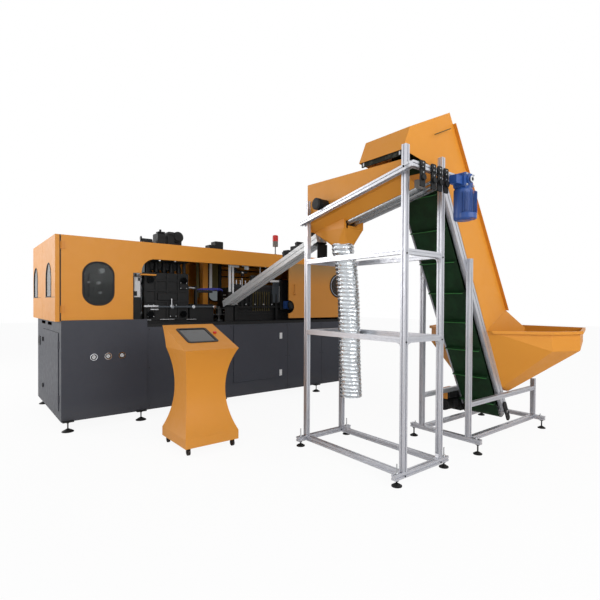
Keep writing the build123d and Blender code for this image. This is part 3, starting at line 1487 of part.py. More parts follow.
cleat_reach = drum_radius + belt_thickness + cleat_height + 9
belt_reach = 2000.0
belt_corners = (lift_point(0, rail_centre, 0), lift_point(0, rail_centre + cleat_reach, 0),
                lift_point(belt_reach, rail_centre + cleat_reach, 0), lift_point(belt_reach, rail_centre, 0))
with BuildPart() as hopper_bin:
    add(bin_solid(0, hopper_rim))
    add(bin_solid(sheet, hopper_rim + 10), mode=Mode.SUBTRACT)
    with BuildSketch(Plane.XZ.offset(-conveyor_near)):
        with BuildLine():
            Polyline(*[(x, z) for x, _, z in belt_corners], close=True)
        make_face()
    extrude(amount=conveyor_near - conveyor_far, mode=Mode.SUBTRACT)
hopper_pieces = [hopper_bin.part]
with BuildPart() as hopper_lip:
    with BuildSketch(Plane.XY.offset(hopper_rim)):
        with BuildLine():
            Polyline(*rim_points, close=True)
        make_face()
        offset(amount=hopper_lip_width)
        with BuildLine():
            Polyline(*rim_points, close=True)
        make_face(mode=Mode.SUBTRACT)
    extrude(amount=-hopper_lip_height)
    split(bisect_by=belt_side.offset(4), keep=Keep.TOP)
hopper_pieces.append(hopper_lip.part)
for y in (conveyor_near - sheet, conveyor_far):
    with BuildPart() as cheek:
        with BuildSketch(Plane.XZ.offset(-y)):
            with BuildLine():
                Polyline((skirt_corner_x + 1, skirt_corner_z - 2), (skirt_cut[0] + 2, skirt_cut[2] - 3),
                         (skirt_cut[0] + 38, hopper_rim - gusset_drop),
                         (gusset_right, hopper_rim - gusset_drop), (gusset_right, hopper_rim + 8), close=True)
            make_face()
        extrude(amount=-sheet)
    hopper_pieces.append(cheek.part)
hopper = group("hopper", hopper_pieces)
write("hopper", hopper)

# Bearing blocks of the upper drum and long black take-up plates of the lower one
head_centre = lift_point(head_drum_along, rail_centre, 0)
for y in (conveyor_near, conveyor_far - profile):
    with BuildPart() as head_block:
        with BuildSketch(Plane.XZ.offset(-y)):
            with Locations((head_centre[0], head_centre[2])):
                with Locations(Location((0, 0), -conveyor_angle)):
                    with Locations((-5, 0)):
                        Rectangle(2 * shaft_room + 10, 68)
                Circle(drum_shaft_radius + 0.05, mode=Mode.SUBTRACT)
        extrude(amount=-profile)
    bearing_pieces.append(head_block.part)
tail_centre = lift_point(tail_drum_along, rail_centre, 0)
for y in (conveyor_near - 12, conveyor_far):
    with BuildPart() as takeup_plate:
        with BuildSketch(Plane.XZ.offset(-y)):
            with Locations((tail_centre[0], tail_centre[2])):
                SlotOverall(236, 64, rotation=-conveyor_angle)
                Circle(drum_shaft_radius + 0.05, mode=Mode.SUBTRACT)
        extrude(amount=-12)
    bearing_pieces.append(takeup_plate.part)
bearing_plates = group("bearing_plates", bearing_pieces)
write("bearing_plates", bearing_plates)

# Elevator drive at the far side of the lower drum
with BuildPart() as lift_gearmotor:
    with BuildSketch(Plane.XZ.offset(-(conveyor_far + 12))):
        with Locations((tail_centre[0], tail_centre[2])):
            RectangleRounded(150, 170, 16)
    extrude(amount=-128)
    with BuildSketch(Plane.XZ.offset(-(conveyor_far + 12))):
        with Locations((tail_centre[0], tail_centre[2])):
            Circle(drum_shaft_radius + 0.05)
    extrude(amount=-12, mode=Mode.SUBTRACT)
    with BuildSketch(Plane.YZ.offset(tail_centre[0] - 75)):
        with Locations((conveyor_far + 80, tail_centre[2] + 10)):
            Circle(66)
    extrude(amount=-230)
    fillet(lift_gearmotor.edges().group_by(Axis.X)[0], 10)
write("lift_gearmotor", lift_gearmotor.part)
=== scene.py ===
"""Looks of a stretch blow moulding line: moulding machine, operator console,
roller unscrambler, foil waste duct, gravity rail and inclined preform elevator.

Sizes are written in millimetres and turned to metres by the helpers.
"""
import bpy
from math import cos, pi, radians, sin
from mathutils import Matrix, Vector


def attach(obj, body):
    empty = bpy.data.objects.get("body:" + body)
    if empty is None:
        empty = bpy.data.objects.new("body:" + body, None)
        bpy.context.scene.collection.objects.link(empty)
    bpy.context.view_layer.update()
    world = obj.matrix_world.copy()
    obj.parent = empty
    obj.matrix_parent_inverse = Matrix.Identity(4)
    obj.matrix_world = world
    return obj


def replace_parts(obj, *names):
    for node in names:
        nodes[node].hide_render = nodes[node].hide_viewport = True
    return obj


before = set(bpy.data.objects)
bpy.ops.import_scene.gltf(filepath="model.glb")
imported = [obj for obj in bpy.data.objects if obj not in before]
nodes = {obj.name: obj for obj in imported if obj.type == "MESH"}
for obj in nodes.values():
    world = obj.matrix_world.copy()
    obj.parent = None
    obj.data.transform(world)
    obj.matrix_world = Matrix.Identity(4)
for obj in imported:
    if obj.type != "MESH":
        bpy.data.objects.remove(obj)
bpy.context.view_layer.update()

MM = 0.001
# The way that the front of the machine and of the stands faces
to_front = (0, -1, 0)


# ---- finishes
def linear(hex_colour):
    """An sRGB hex colour as the linear colour that a shader takes."""
    parts = [int(hex_colour[i:i + 2], 16) / 255 for i in (1, 3, 5)]
    return [c / 12.92 if c <= 0.04045 else ((c + 0.055) / 1.055) ** 2.4 for c in parts] + [1.0]


def add_node(material, kind, sockets=None, links=None, **settings):
    """Add one node, set its own settings and sockets, and link its inputs."""
    tree = material.node_tree
    node = tree.nodes.new(kind)
    for name, value in settings.items():
        setattr(node, name, value)
    for name, value in (sockets or {}).items():
        node.inputs[name].default_value = value
    for name, source in (links or {}).items():
        tree.links.new(source, node.inputs[name])
    return node


finishes = {}


def new_finish(name, slot, colour, **sockets):
    """Start a finish: a shader in its plain colour, kept under its name; its slot is not used."""
    material = bpy.data.materials.new(name)
    material.use_nodes = True
    shader = material.node_tree.nodes["Principled BSDF"]
    shader.inputs["Base Color"].default_value = linear(colour)
    for socket, value in sockets.items():
        shader.inputs[socket.replace("_", " ")].default_value = value
    material.diffuse_color = linear(colour)
    finishes[name] = material
    return material, shader


def feed(material, shader, **sources):
    """Link outputs to the shader's inputs, whose names have their spaces as underscores."""
    for socket, source in sources.items():
        material.node_tree.links.new(source, shader.inputs[socket.replace("_", " ")])


def powder_coat(name, slot, colour, worn, roughness, dust="#b9b2a4", coat=0.04, specular=0.3):
    """Polyester powder coat, sprayed and baked on sheet steel: an even satin colour
    with a faint orange peel, soft cloudiness and a little dust near the floor."""
    paint, shader = new_finish(name, slot, colour, Roughness=roughness, Coat_Weight=coat,
                               Coat_Roughness=0.3, Specular_IOR_Level=specular)
    spot = add_node(paint, "ShaderNodeTexCoord").outputs["Object"]
    # Clouds about 400 mm across, from uneven film thickness
    cloud = add_node(paint, "ShaderNodeTexNoise", {"Scale": 2.6, "Detail": 5.0, "Roughness": 0.55},
                     {"Vector": spot})
    tone = add_node(paint, "ShaderNodeMapRange",
                    {"From Min": 0.42, "From Max": 0.72, "To Max": 0.32},
                    {"Value": cloud.outputs["Fac"]})
    base = add_node(paint, "ShaderNodeMix", {6: linear(colour), 7: linear(worn)},
                    {"Factor": tone.outputs["Result"]}, data_type="RGBA")
    # Dust that settles on the lowest 300 mm, broken up at hand size
    height = add_node(paint, "ShaderNodeSeparateXYZ", None, {"Vector": spot})
    low = add_node(paint, "ShaderNodeMapRange",
                   {"From Min": 0.05, "From Max": 0.32, "To Min": 0.22, "To Max": 0.0},
                   {"Value": height.outputs["Z"]})
    speck = add_node(paint, "ShaderNodeTexNoise", {"Scale": 14.0, "Detail": 8.0, "Roughness": 0.7},
                     {"Vector": spot})
    dusty = add_node(paint, "ShaderNodeMath", None,
                     {0: low.outputs["Result"], 1: speck.outputs["Fac"]}, operation="MULTIPLY")
    colour_out = add_node(paint, "ShaderNodeMix", {7: linear(dust)},
                          {"Factor": dusty.outputs["Value"], 6: base.outputs[2]}, data_type="RGBA")
    # Wiped and handled areas are glossier
    sheen = add_node(paint, "ShaderNodeMapRange",
                     {"From Min": 0.3, "From Max": 0.7, "To Min": roughness - 0.07,
                      "To Max": roughness + 0.1}, {"Value": speck.outputs["Fac"]})
    # Real orange peel is 1 to 2 mm wide; it is drawn at 7 mm so that it shows
    peel = add_node(paint, "ShaderNodeTexNoise", {"Scale": 145.0, "Detail": 2.0}, {"Vector": spot})
    bump = add_node(paint, "ShaderNodeBump", {"Strength": 0.07, "Distance": 0.001},
                    {"Height": peel.outputs["Fac"]})
    feed(paint, shader, Base_Color=colour_out.outputs[2], Roughness=sheen.outputs["Result"],
         Normal=bump.outputs["Normal"])
    return paint


def metal(name, slot, colour, dull, roughness, stretch=(1.0, 1.0, 1.0), scale=60.0, strength=0.08,
          metallic=1.0):
    """Bare metal: grain from how it was cut, drawn or rolled, and a slightly uneven shine."""
    body, shader = new_finish(name, slot, colour, Metallic=metallic, Roughness=roughness)
    spot = add_node(body, "ShaderNodeTexCoord").outputs["Object"]
    turned = add_node(body, "ShaderNodeMapping", {"Scale": stretch}, {"Vector": spot})
    # Real grain is about 0.1 mm wide; it is drawn at 6 to 33 mm so that it shows
    grain = add_node(body, "ShaderNodeTexNoise", {"Scale": scale, "Detail": 6.0, "Roughness": 0.6},
                     {"Vector": turned.outputs["Vector"]})
    tone = add_node(body, "ShaderNodeMix", {6: linear(colour), 7: linear(dull)},
                    {"Factor": grain.outputs["Fac"]}, data_type="RGBA")
    shine = add_node(body, "ShaderNodeMapRange",
                     {"From Min": 0.3, "From Max": 0.7, "To Min": roughness * 0.8,
                      "To Max": roughness * 1.3}, {"Value": grain.outputs["Fac"]})
    bump = add_node(body, "ShaderNodeBump", {"Strength": strength, "Distance": 0.0006},
                    {"Height": grain.outputs["Fac"]})
    feed(body, shader, Base_Color=tone.outputs[2], Roughness=shine.outputs["Result"],
         Normal=bump.outputs["Normal"])
    return body


def moulded(name, slot, colour, scuffed, roughness, grain_scale=420.0, strength=0.12):
    """Moulded plastic or rubber: fine tool texture and paler scuffs."""
    body, shader = new_finish(name, slot, colour, Roughness=roughness, Specular_IOR_Level=0.25)
    spot = add_node(body, "ShaderNodeTexCoord").outputs["Object"]
    # Real tool grain is 0.1 to 0.3 mm wide; it is drawn at 2.4 to 11 mm so that it shows
    grain = add_node(body, "ShaderNodeTexNoise", {"Scale": grain_scale, "Detail": 3.0},
                     {"Vector": spot})
    # Scuffs about 45 mm across
    scuff = add_node(body, "ShaderNodeTexNoise", {"Scale": 22.0, "Detail": 7.0, "Roughness": 0.65},
                     {"Vector": spot})
    edge = add_node(body, "ShaderNodeMapRange", {"From Min": 0.5, "From Max": 0.78, "To Max": 0.5},
                    {"Value": scuff.outputs["Fac"]})
    tone = add_node(body, "ShaderNodeMix", {6: linear(colour), 7: linear(scuffed)},
                    {"Factor": edge.outputs["Result"]}, data_type="RGBA")
    bump = add_node(body, "ShaderNodeBump", {"Strength": strength, "Distance": 0.0005},
                    {"Height": grain.outputs["Fac"]})
    feed(body, shader, Base_Color=tone.outputs[2], Normal=bump.outputs["Normal"])
    return body


# Steel sheet, powder coated: an even, satin traffic orange
powder_coat("orange_powder_coat", "orange_paint", "#d38b2c", "#cb8126", 0.45, "#c9a77a")
# A copy of the panel orange, darker than the panels round it: painted shade on the guard door, its
# handle and the lift motor plate
powder_coat("shaded_orange_powder_coat", "orange_paint", "#c38234", "#b0742d", 0.45, "#b39468")
# Steel sheet, powder coated with a fine texture: a matt anthracite
powder_coat("anthracite_powder_coat", "grey_paint", "#35373f", "#3b3d45", 0.5, "#77756f")
# Weldments and cases, sprayed in two-pack enamel: a dark grey with some gloss
powder_coat("dark_grey_enamel", "dark_grey_paint", "#3a4046", "#464c52", 0.42, "#6c6a64")
# Castings, motors and bearing plates, sprayed black: dull and nearly without a highlight
powder_coat("black_enamel", "black_paint", "#0d0e0f", "#191a1c", 0.52, "#3a3834", 0.0, 0.25)
# Yellow-passivated steel sheet inside the machine: olive brown, dulled by oil mist
powder_coat("yellow_passivated_sheet", "machined_steel", "#4f4519", "#3a3315", 0.5, "#6b6450", 0.0)
# Motor and gearbox castings in blue enamel: the glossiest of the paints
powder_coat("blue_motor_enamel", "blue_paint", "#2a4c8c", "#223e6e", 0.34, "#7c828c", 0.1)
# White enamel on dials, small guards and covers: clean and half glossy
powder_coat("white_enamel", "machined_steel", "#d9dadb", "#c6c7c8", 0.4, "#a9a7a2")

# Extruded aluminium profile, clear anodised: soft silver with a faint drawn grain
metal("anodised_aluminium", "anodised_profile", "#cccdd2", "#b9bac0", 0.36, (1, 1, 1), 38.0, 0.04,
      0.8)
# Turned and ground machine steel, lightly oiled: bright, with fine rings
metal("ground_steel", "machined_steel", "#b9babd", "#8f9094", 0.28, (1, 1, 9), 70.0, 0.1)
# Milled mould aluminium: pale and bright, with upright cutter marks
metal("milled_aluminium", "mould_aluminium", "#c5c8cd", "#a5a8ad", 0.25, (9, 1, 1), 60.0, 0.08)
# Hard chrome on gauge rims, nuts and pins: an almost clear mirror
metal("hard_chrome", "bright_chrome", "#dcdde0", "#c6c8cc", 0.1, (1, 1, 1), 30.0, 0.02)
# Ground steel tube of the unscrambling rollers: grey, streaked along its length
metal("ground_roller_tube", "roller_steel", "#a2a5a7", "#85888a", 0.26, (1, 0.05, 1), 160.0, 0.05)
# Bright rolled profile of the gravity rail, pale under the lamps
metal("satin_rail", "anodised_profile", "#d8dadb", "#bfc1c2", 0.45, (1, 0.2, 1), 60.0, 0.05, 0.3)
# Machine steel darkened by oil: a dull, uneven dark grey
metal("oiled_steel", "machined_steel", "#4a4b4c", "#2c2d2e", 0.4, (1, 1, 1), 60.0, 0.06, 0.7)
# Zinc-plated fasteners: pale grey with a soft shine
metal("zinc_plate", "machined_steel", "#c9cbcd", "#a4a6a8", 0.3, (1, 1, 1), 90.0, 0.06)

# Thin aluminium foil over a wire helix: bright, wrinkled and creased
foil, foil_shader = new_finish("crinkled_aluminium_foil", "duct_foil", "#cfd4d8", Metallic=0.9,
                               Roughness=0.24)
foil_spot = add_node(foil, "ShaderNodeTexCoord").outputs["Object"]
# Creases 20 to 40 mm apart with sharp folds between flat facets, and wrinkles 13 mm apart
creases = add_node(foil, "ShaderNodeTexVoronoi", {"Scale": 38.0, "Randomness": 1.0},
                   {"Vector": foil_spot}, feature="F1", distance="EUCLIDEAN")
wrinkles = add_node(foil, "ShaderNodeTexNoise", {"Scale": 75.0, "Detail": 4.0, "Distortion": 1.2},
                    {"Vector": foil_spot})
crumple = add_node(foil, "ShaderNodeMath", None,
                   {0: creases.outputs["Distance"], 1: wrinkles.outputs["Fac"]}, operation="ADD")
foil_bump = add_node(foil, "ShaderNodeBump", {"Strength": 0.3, "Distance": 0.004},
                     {"Height": crumple.outputs["Value"]})
feed(foil, foil_shader, Normal=foil_bump.outputs["Normal"])

# PVC conveyor belting, calendered dark green with a fine fabric print
belting, belting_shader = new_finish("green_pvc_belting", "belt_rubber", "#102c14", Roughness=0.55,
                                     Specular_IOR_Level=0.2)
belt_spot = add_node(belting, "ShaderNodeTexCoord").outputs["Object"]
# Fabric print 1 mm apart, drawn 12 mm apart so that it shows
print_lines = add_node(belting, "ShaderNodeTexWave",
                       {"Scale": 26.0, "Distortion": 0.6, "Detail": 1.0},
                       {"Vector": belt_spot}, bands_direction="Y")
# Rub marks about 110 mm across
rub_marks = add_node(belting, "ShaderNodeTexNoise", {"Scale": 9.0, "Detail": 8.0, "Roughness": 0.7},
                     {"Vector": belt_spot})
rubbed = add_node(belting, "ShaderNodeMapRange", {"From Min": 0.4, "From Max": 0.75, "To Max": 0.6},
                  {"Value": rub_marks.outputs["Fac"]})
belt_tone = add_node(belting, "ShaderNodeMix", {6: linear("#0f2913"), 7: linear("#1b4424")},
                     {"Factor": rubbed.outputs["Result"]}, data_type="RGBA")
belt_bump = add_node(belting, "ShaderNodeBump", {"Strength": 0.1, "Distance": 0.0006},
                     {"Height": print_lines.outputs["Fac"]})
feed(belting, belting_shader, Base_Color=belt_tone.outputs[2], Normal=belt_bump.outputs["Normal"])

# Extruded EPDM gaskets and the kicker wheel: matt black
moulded("epdm_rubber", "black_rubber", "#1d1d1f", "#2e2e30", 0.62, 300.0, 0.1)
# Moulded glass-filled nylon handles, latches and boxes: black with a low sheen
moulded("black_nylon", "black_plastic", "#19191b", "#313134", 0.42)
# Moulded acrylic signal lens and push button: a glossy deep red
moulded("red_acrylic", "red_plastic", "#c8211b", "#a91a15", 0.2, 200.0, 0.03)
# Extruded nylon air pipe: a smooth violet blue
moulded("blue_air_tube", "blue_paint", "#3a3f8f", "#4a4fa0", 0.3, 200.0, 0.02)
# Cast acrylic guard panes, smoked: seen through, with smears about 140 mm across
pane, pane_shader = new_finish("smoked_acrylic", "window_pane", "#b4b8b8", Roughness=0.04, IOR=1.16,
                               Transmission_Weight=0.96, Specular_IOR_Level=0.12)
pane_spot = add_node(pane, "ShaderNodeTexCoord").outputs["Object"]
smear = add_node(pane, "ShaderNodeTexNoise", {"Scale": 7.0, "Detail": 6.0}, {"Vector": pane_spot})
smeared = add_node(pane, "ShaderNodeMapRange",
                   {"From Min": 0.35, "From Max": 0.75, "To Min": 0.02, "To Max": 0.12},
                   {"Value": smear.outputs["Fac"]})
feed(pane, pane_shader, Roughness=smeared.outputs["Result"])
# Drawn quartz heater tubes: pale, as if frosted
moulded("fused_quartz", "quartz_glass", "#dad6cd", "#c9c4b8", 0.18, 120.0, 0.02)
# Painted highlight on the tips of the belt's cleats: a paler green than the belt, where light
# catches their edges
moulded("cleat_highlight_pvc", "belt_rubber", "#2f6a35", "#4d8a4a", 0.5, 200.0, 0.05)
# Cast polyurethane castors, a moulded grey nylon lamp base and drawn nylon bristles: all matt
moulded("black_polyurethane", "castor_plastic", "#1f1a19", "#3a2d29", 0.45)
moulded("grey_nylon", "black_plastic", "#6f6963", "#86807a", 0.5)
moulded("brush_bristle", "black_rubber", "#202119", "#8b8d80", 0.8, 90.0, 0.8)
# Touch screen glass over a dark display: black gloss, with finger smears 55 mm across
display, display_shader = new_finish("display_glass", "display_glass", "#15181b", Roughness=0.08)
screen_spot = add_node(display, "ShaderNodeTexCoord").outputs["Object"]
finger = add_node(display, "ShaderNodeTexNoise", {"Scale": 18.0, "Detail": 6.0},
                  {"Vector": screen_spot})
greasy = add_node(display, "ShaderNodeMapRange",
                  {"From Min": 0.4, "From Max": 0.75, "To Min": 0.05, "To Max": 0.2},
                  {"Value": finger.outputs["Fac"]})
feed(display, display_shader, Roughness=greasy.outputs["Result"])


def repaint(name, bands, axis):
    """Change a finish's colour where its object passes a height or place along one axis."""
    material = finishes[name]
    shader = material.node_tree.nodes["Principled BSDF"]
    spot = add_node(material, "ShaderNodeTexCoord").outputs["Object"]
    place = add_node(material, "ShaderNodeSeparateXYZ", None, {"Vector": spot}).outputs[axis]
    for start, end, colour in bands:
        share = add_node(material, "ShaderNodeMapRange",
                         {"From Min": start * MM, "From Max": end * MM}, {"Value": place})
        base = shader.inputs["Base Color"]
        mixed = add_node(material, "ShaderNodeMix", {6: base.default_value, 7: linear(colour)},
                         {"Factor": share.outputs["Result"]}, data_type="RGBA")
        if base.is_linked:
            material.node_tree.links.new(base.links[0].from_socket, mixed.inputs[6])
        feed(material, shader, Base_Color=mixed.outputs[2])


# Tie rods are chromed inside the clamp, with blackened nuts outside its front plate
metal("tie_rod_steel", "bright_chrome", "#dcdde0", "#c6c8cc", 0.3, (1, 1, 1), 30.0, 0.02)
repaint("tie_rod_steel", [(200, 190, "#0c0d0e")], "Y")
# Hinges take the colour of the panel that they sit on: white on the cabinet door, orange on
# the hood, grey on the end of the cabinet
powder_coat("hinge_enamel", "machined_steel", "#d9dadb", "#c6c7c8", 0.4, "#a9a7a2")
repaint("hinge_enamel", [(5, -5, "#35373f")], "X")
repaint("hinge_enamel", [(1195, 1205, "#cb8126")], "Z")
# Panes of the rear wall are a darker smoke than those of the front
repaint("smoked_acrylic", [(900, 1100, "#63686a")], "Y")
# The guard door fades upwards into the shade of the hood
repaint("shaded_orange_powder_coat", [(1700, 2060, "#8a6f45")], "Z")

dressed = {
    "orange_powder_coat": ["hood_left", "hood_beam", "hood_shell", "end_door_front",
                           "end_door_rear", "console_body", "trough", "elevator_housing", "hopper"],
    # The guard door takes the orange darkened with painted shade
    "shaded_orange_powder_coat": ["guard_door"],
    "anthracite_powder_coat": ["cabinet_panels", "cabinet_door", "side_door"],
    "dark_grey_enamel": ["base_frame"],
    "black_enamel": ["bed_plate", "clamp_frame", "blow_frame", "heating_oven", "levelling_feet",
                     "top_drives", "bearing_plates", "kicker_motor", "rail_brackets",
                     "lift_gearmotor", "blow_head"],
    "blue_motor_enamel": ["roller_gearmotor"],
    "hinge_enamel": ["cabinet_hinges"],
    "anodised_aluminium": ["stand_frame", "trough_rails", "lift_frame", "conveyor_rails"],
    "satin_rail": ["gravity_rail"],
    "ground_steel": ["moving_platen", "head_drum", "tail_drum"],
    "oiled_steel": ["feed_wheel_stand", "feed_wheel"],
    "milled_aluminium": ["mould_front", "mould_rear"],
    "hard_chrome": ["pressure_gauges"],
    "tie_rod_steel": ["tie_rods"],
    "ground_roller_tube": ["roller_left", "roller_right"],
    "crinkled_aluminium_foil": ["waste_duct"],
    "green_pvc_belting": ["belt"],
    "epdm_rubber": ["kicker_wheel"],
    "black_nylon": ["side_latch_lower", "side_latch_upper", "side_handle", "console_bezel"],
    "grey_nylon": ["signal_lamp"],
    "red_acrylic": ["signal_lens", "stop_button"],
    "black_polyurethane": ["console_castors"],
    "smoked_acrylic": ["hood_panes", "end_pane_front", "end_pane_rear", "guard_pane"],
    "fused_quartz": ["oven_lamps"],
    "display_glass": ["console_display"],
}
for finish, names in dressed.items():
    for node_name in names:
        mesh = nodes[node_name].data
        for index in range(len(mesh.materials)):
            mesh.materials[index] = finishes[finish]


# ---- modelling helpers
def metres(point):
    """A point in millimetres as Blender's metres."""
    return Vector(point) * MM


def release():
    """Let go of everything, so that an operator acts on the next piece alone."""
    bpy.ops.object.select_all(action="DESELECT")


def pick(piece):
    """Select one piece alone and make it the active one."""
    release()
    piece.select_set(True)
    bpy.context.view_layer.objects.active = piece


def apply_modifier(piece, kind, **settings):
    """Put one modifier on a piece and apply it."""
    modifier = piece.modifiers.new(kind.title(), kind)
    for name, value in settings.items():
        setattr(modifier, name, value)
    pick(piece)
    bpy.ops.object.modifier_apply(modifier=modifier.name)


def soften(piece, width, segments=2):
    """Break the sharp edges of a piece."""
    apply_modifier(piece, "BEVEL", width=width * MM, segments=segments, limit_method="ANGLE",
                   angle_limit=radians(35))


def choose(piece, rule, part="VERT"):
    """Select the corners or the faces that a rule picks, and go into edit mode."""
    bpy.context.view_layer.objects.active = piece
    bpy.ops.object.mode_set(mode="EDIT")
    bpy.ops.mesh.select_mode(type=part)
    bpy.ops.mesh.select_all(action="DESELECT")
    bpy.ops.object.mode_set(mode="OBJECT")
    if part == "VERT":
        for corner in piece.data.vertices:
            corner.select = rule(corner.co / MM)
    else:
        for face in piece.data.polygons:
            face.select = rule(face.center / MM, face.normal)
    bpy.ops.object.mode_set(mode="EDIT")


def leave():
    """Go back to object mode."""
    bpy.ops.object.mode_set(mode="OBJECT")


def freeze(piece):
    """Put a piece's place into its mesh."""
    pick(piece)
    bpy.ops.object.transform_apply(location=True, rotation=True, scale=True)
    return piece


def block(low, high, edge=1.5):
    """A machined or folded block between two corners, edges broken."""
    release()
    centre = (metres(low) + metres(high)) / 2
    bpy.ops.mesh.primitive_cube_add(size=1, location=centre)
    piece = bpy.context.object
    piece.scale = metres(high) - metres(low)
    freeze(piece)
    if edge:
        soften(piece, edge)
    return piece


def rod(start, end, radius, edge=1.0, sides=28):
    """A turned rod or disc between two points, ends chamfered."""
    release()
    run = metres(end) - metres(start)
    bpy.ops.mesh.primitive_cylinder_add(
        vertices=sides, radius=radius * MM, depth=run.length,
        location=(metres(start) + metres(end)) / 2,
        rotation=run.to_track_quat("Z", "Y").to_euler())
    piece = freeze(bpy.context.object)
    if edge:
        soften(piece, edge, 1)
    pick(piece)
    bpy.ops.object.shade_smooth_by_angle(angle=radians(40))
    return piece


def hex_bolt(spot, direction, radius, height):
    """A hexagon bolt head on its washer, pointing out of the surface that it holds."""
    spot, direction = Vector(spot), Vector(direction).normalized()
    washer = rod(spot, spot + direction * height * 0.3, radius * 1.5, 0.3, 20)
    head = rod(spot + direction * height * 0.3, spot + direction * height * 1.3, radius * 1.15,
               0.6, 6)
    return merge([washer, head])


def cap_screw(spot, direction, radius, height):
    """A socket cap screw: a round head with its hexagon socket sunk in."""
    spot, direction = Vector(spot), Vector(direction).normalized()
    head = rod(spot, spot + direction * height, radius, 0.4, 18)
    top = spot + direction * height
    choose(head, lambda centre, normal: (centre - top).length < radius / 2
           and normal.dot(direction) > 0.9, "FACE")
    bpy.ops.mesh.inset(thickness=radius * 0.42 * MM)
    sunk = direction * -height * 0.6 * MM
    bpy.ops.mesh.extrude_region_move(TRANSFORM_OT_translate={"value": sunk})
    leave()
    return head


def copies(piece, shifts):
    """Copies of one piece, each with its own mesh, at given shifts."""
    made = []
    for shift in shifts:
        twin = piece.copy()
        twin.data = piece.data.copy()
        twin.data.transform(Matrix.Translation(metres(shift)))
        bpy.context.scene.collection.objects.link(twin)
        made.append(twin)
    return made


def merge(pieces):
    """Join pieces that are one thing in the hand."""
    release()
    for piece in pieces:
        piece.select_set(True)
    bpy.context.view_layer.objects.active = pieces[0]
    if len(pieces) > 1:
        bpy.ops.object.join()
    return bpy.context.view_layer.objects.active


def blocks(*rows):
    """Blocks, each given by its two corners and its edge."""
    return [block(*row) for row in rows]


def repeated(piece, shifts):
    """A piece and its copies."""
    return [piece] + copies(piece, shifts)


def carry(piece, angle, axis, spot):
    """Turn a piece that was made at the origin, and carry it to its spot."""
    piece.data.transform(Matrix.Translation(metres(spot)) @ Matrix.Rotation(angle, 4, axis))
    return piece


def fit(pieces, name, finish, body="line"):
    """Join the pieces of one thing, name it, finish it, and hang it on the body that carries it."""
    piece = freeze(merge(pieces) if isinstance(pieces, list) else pieces)
    piece.name = name
    piece.data.name = name
    piece.data.materials.clear()
    piece.data.materials.append(finishes[finish])
    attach(piece, body)
    return piece


def outline_ring(centre, width, height, corner, sides=64):
    """The rounded outline of a window in an upright panel that faces the front, as edges."""
    release()
    bpy.ops.mesh.primitive_circle_add(vertices=sides, radius=corner * MM, rotation=(pi / 2, 0, 0))
    ring = carry(freeze(bpy.context.object), pi / sides, "Y", centre)
    for axis, size in ((2, height), (0, width)):
        for sign in (-1, 1):
            choose(ring, lambda co: (co[axis] - centre[axis]) * sign > 0)
            shift = Vector((0, 0, 0))
            shift[axis] = sign * (size / 2 - corner) * MM
            bpy.ops.transform.translate(value=shift)
            leave()
    return ring


def bead(outline, thickness):
    """A rubber bead that follows an outline."""
    pick(outline)
    bpy.ops.object.convert(target="CURVE")
    outline.data.bevel_depth = thickness * MM
    outline.data.bevel_resolution = 4
    bpy.ops.object.convert(target="MESH")
    return bpy.context.object


# ---- camera, floor and light
release()
bpy.ops.object.camera_add(location=(-0.9198, -5.4071, 1.420),
                          rotation=(radians(89.368), radians(-0.346), radians(-40.018)))
camera = bpy.context.object
camera.data.lens = 26.0
camera.data.sensor_width = 36.0
camera.data.shift_x = -0.0361
camera.data.shift_y = 0.0139
camera.data.clip_end = 100
bpy.context.scene.camera = camera

bpy.context.scene.view_settings.view_transform = "Standard"
world = bpy.context.scene.world or bpy.data.worlds.new("studio")
bpy.context.scene.world = world
world.use_nodes = True
background = world.node_tree.nodes["Background"]
background.inputs["Color"].default_value = linear("#f4f6fa")
background.inputs["Strength"].default_value = 0.5

# Camera, mirror and see-through rays meet white; the rest gets the dimmer sky
white_wall = add_node(world, "ShaderNodeBackground", {"Color": (1, 1, 1, 1), "Strength": 1.0})
rays = add_node(world, "ShaderNodeLightPath").outputs
seen = add_node(world, "ShaderNodeMath", None, {0: rays["Is Camera Ray"], 1: rays["Is Glossy Ray"]},
                operation="MAXIMUM")
seen_through = add_node(world, "ShaderNodeMath", None,
                        {0: seen.outputs[0], 1: rays["Is Transmission Ray"]}, operation="MAXIMUM")
sky = add_node(world, "ShaderNodeMixShader", None,
               {0: seen_through.outputs[0], 1: background.outputs[0], 2: white_wall.outputs[0]})
world.node_tree.links.new(sky.outputs[0], world.node_tree.nodes["World Output"].inputs["Surface"])

# The floor looks nearly white to the camera and keeps the object's shadow
release()
bpy.ops.mesh.primitive_plane_add(size=60, location=(2, 0, 0))
floor = bpy.context.object
floor.name = "studio_floor"
pale_floor = bpy.data.materials.new("pale_studio_floor")
pale_floor.use_nodes = True
floor_shader = pale_floor.node_tree.nodes["Principled BSDF"]
floor_shader.inputs["Base Color"].default_value = linear("#f3f3f2")
floor_shader.inputs["Roughness"].default_value = 0.6
camera_share = 0.93
floor_white = add_node(pale_floor, "ShaderNodeEmission", {"Color": (1, 1, 1, 1), "Strength": 1.0})
floor_rays = add_node(pale_floor, "ShaderNodeLightPath")
floor_seen = add_node(pale_floor, "ShaderNodeMath", {1: camera_share},
                      {0: floor_rays.outputs["Is Camera Ray"]}, operation="MULTIPLY")
floor_mix = add_node(pale_floor, "ShaderNodeMixShader", None,
                     {0: floor_seen.outputs[0], 1: floor_shader.outputs[0],
                      2: floor_white.outputs[0]})
pale_floor.node_tree.links.new(floor_mix.outputs[0],
                               pale_floor.node_tree.nodes["Material Output"].inputs["Surface"])
floor.data.materials.append(pale_floor)


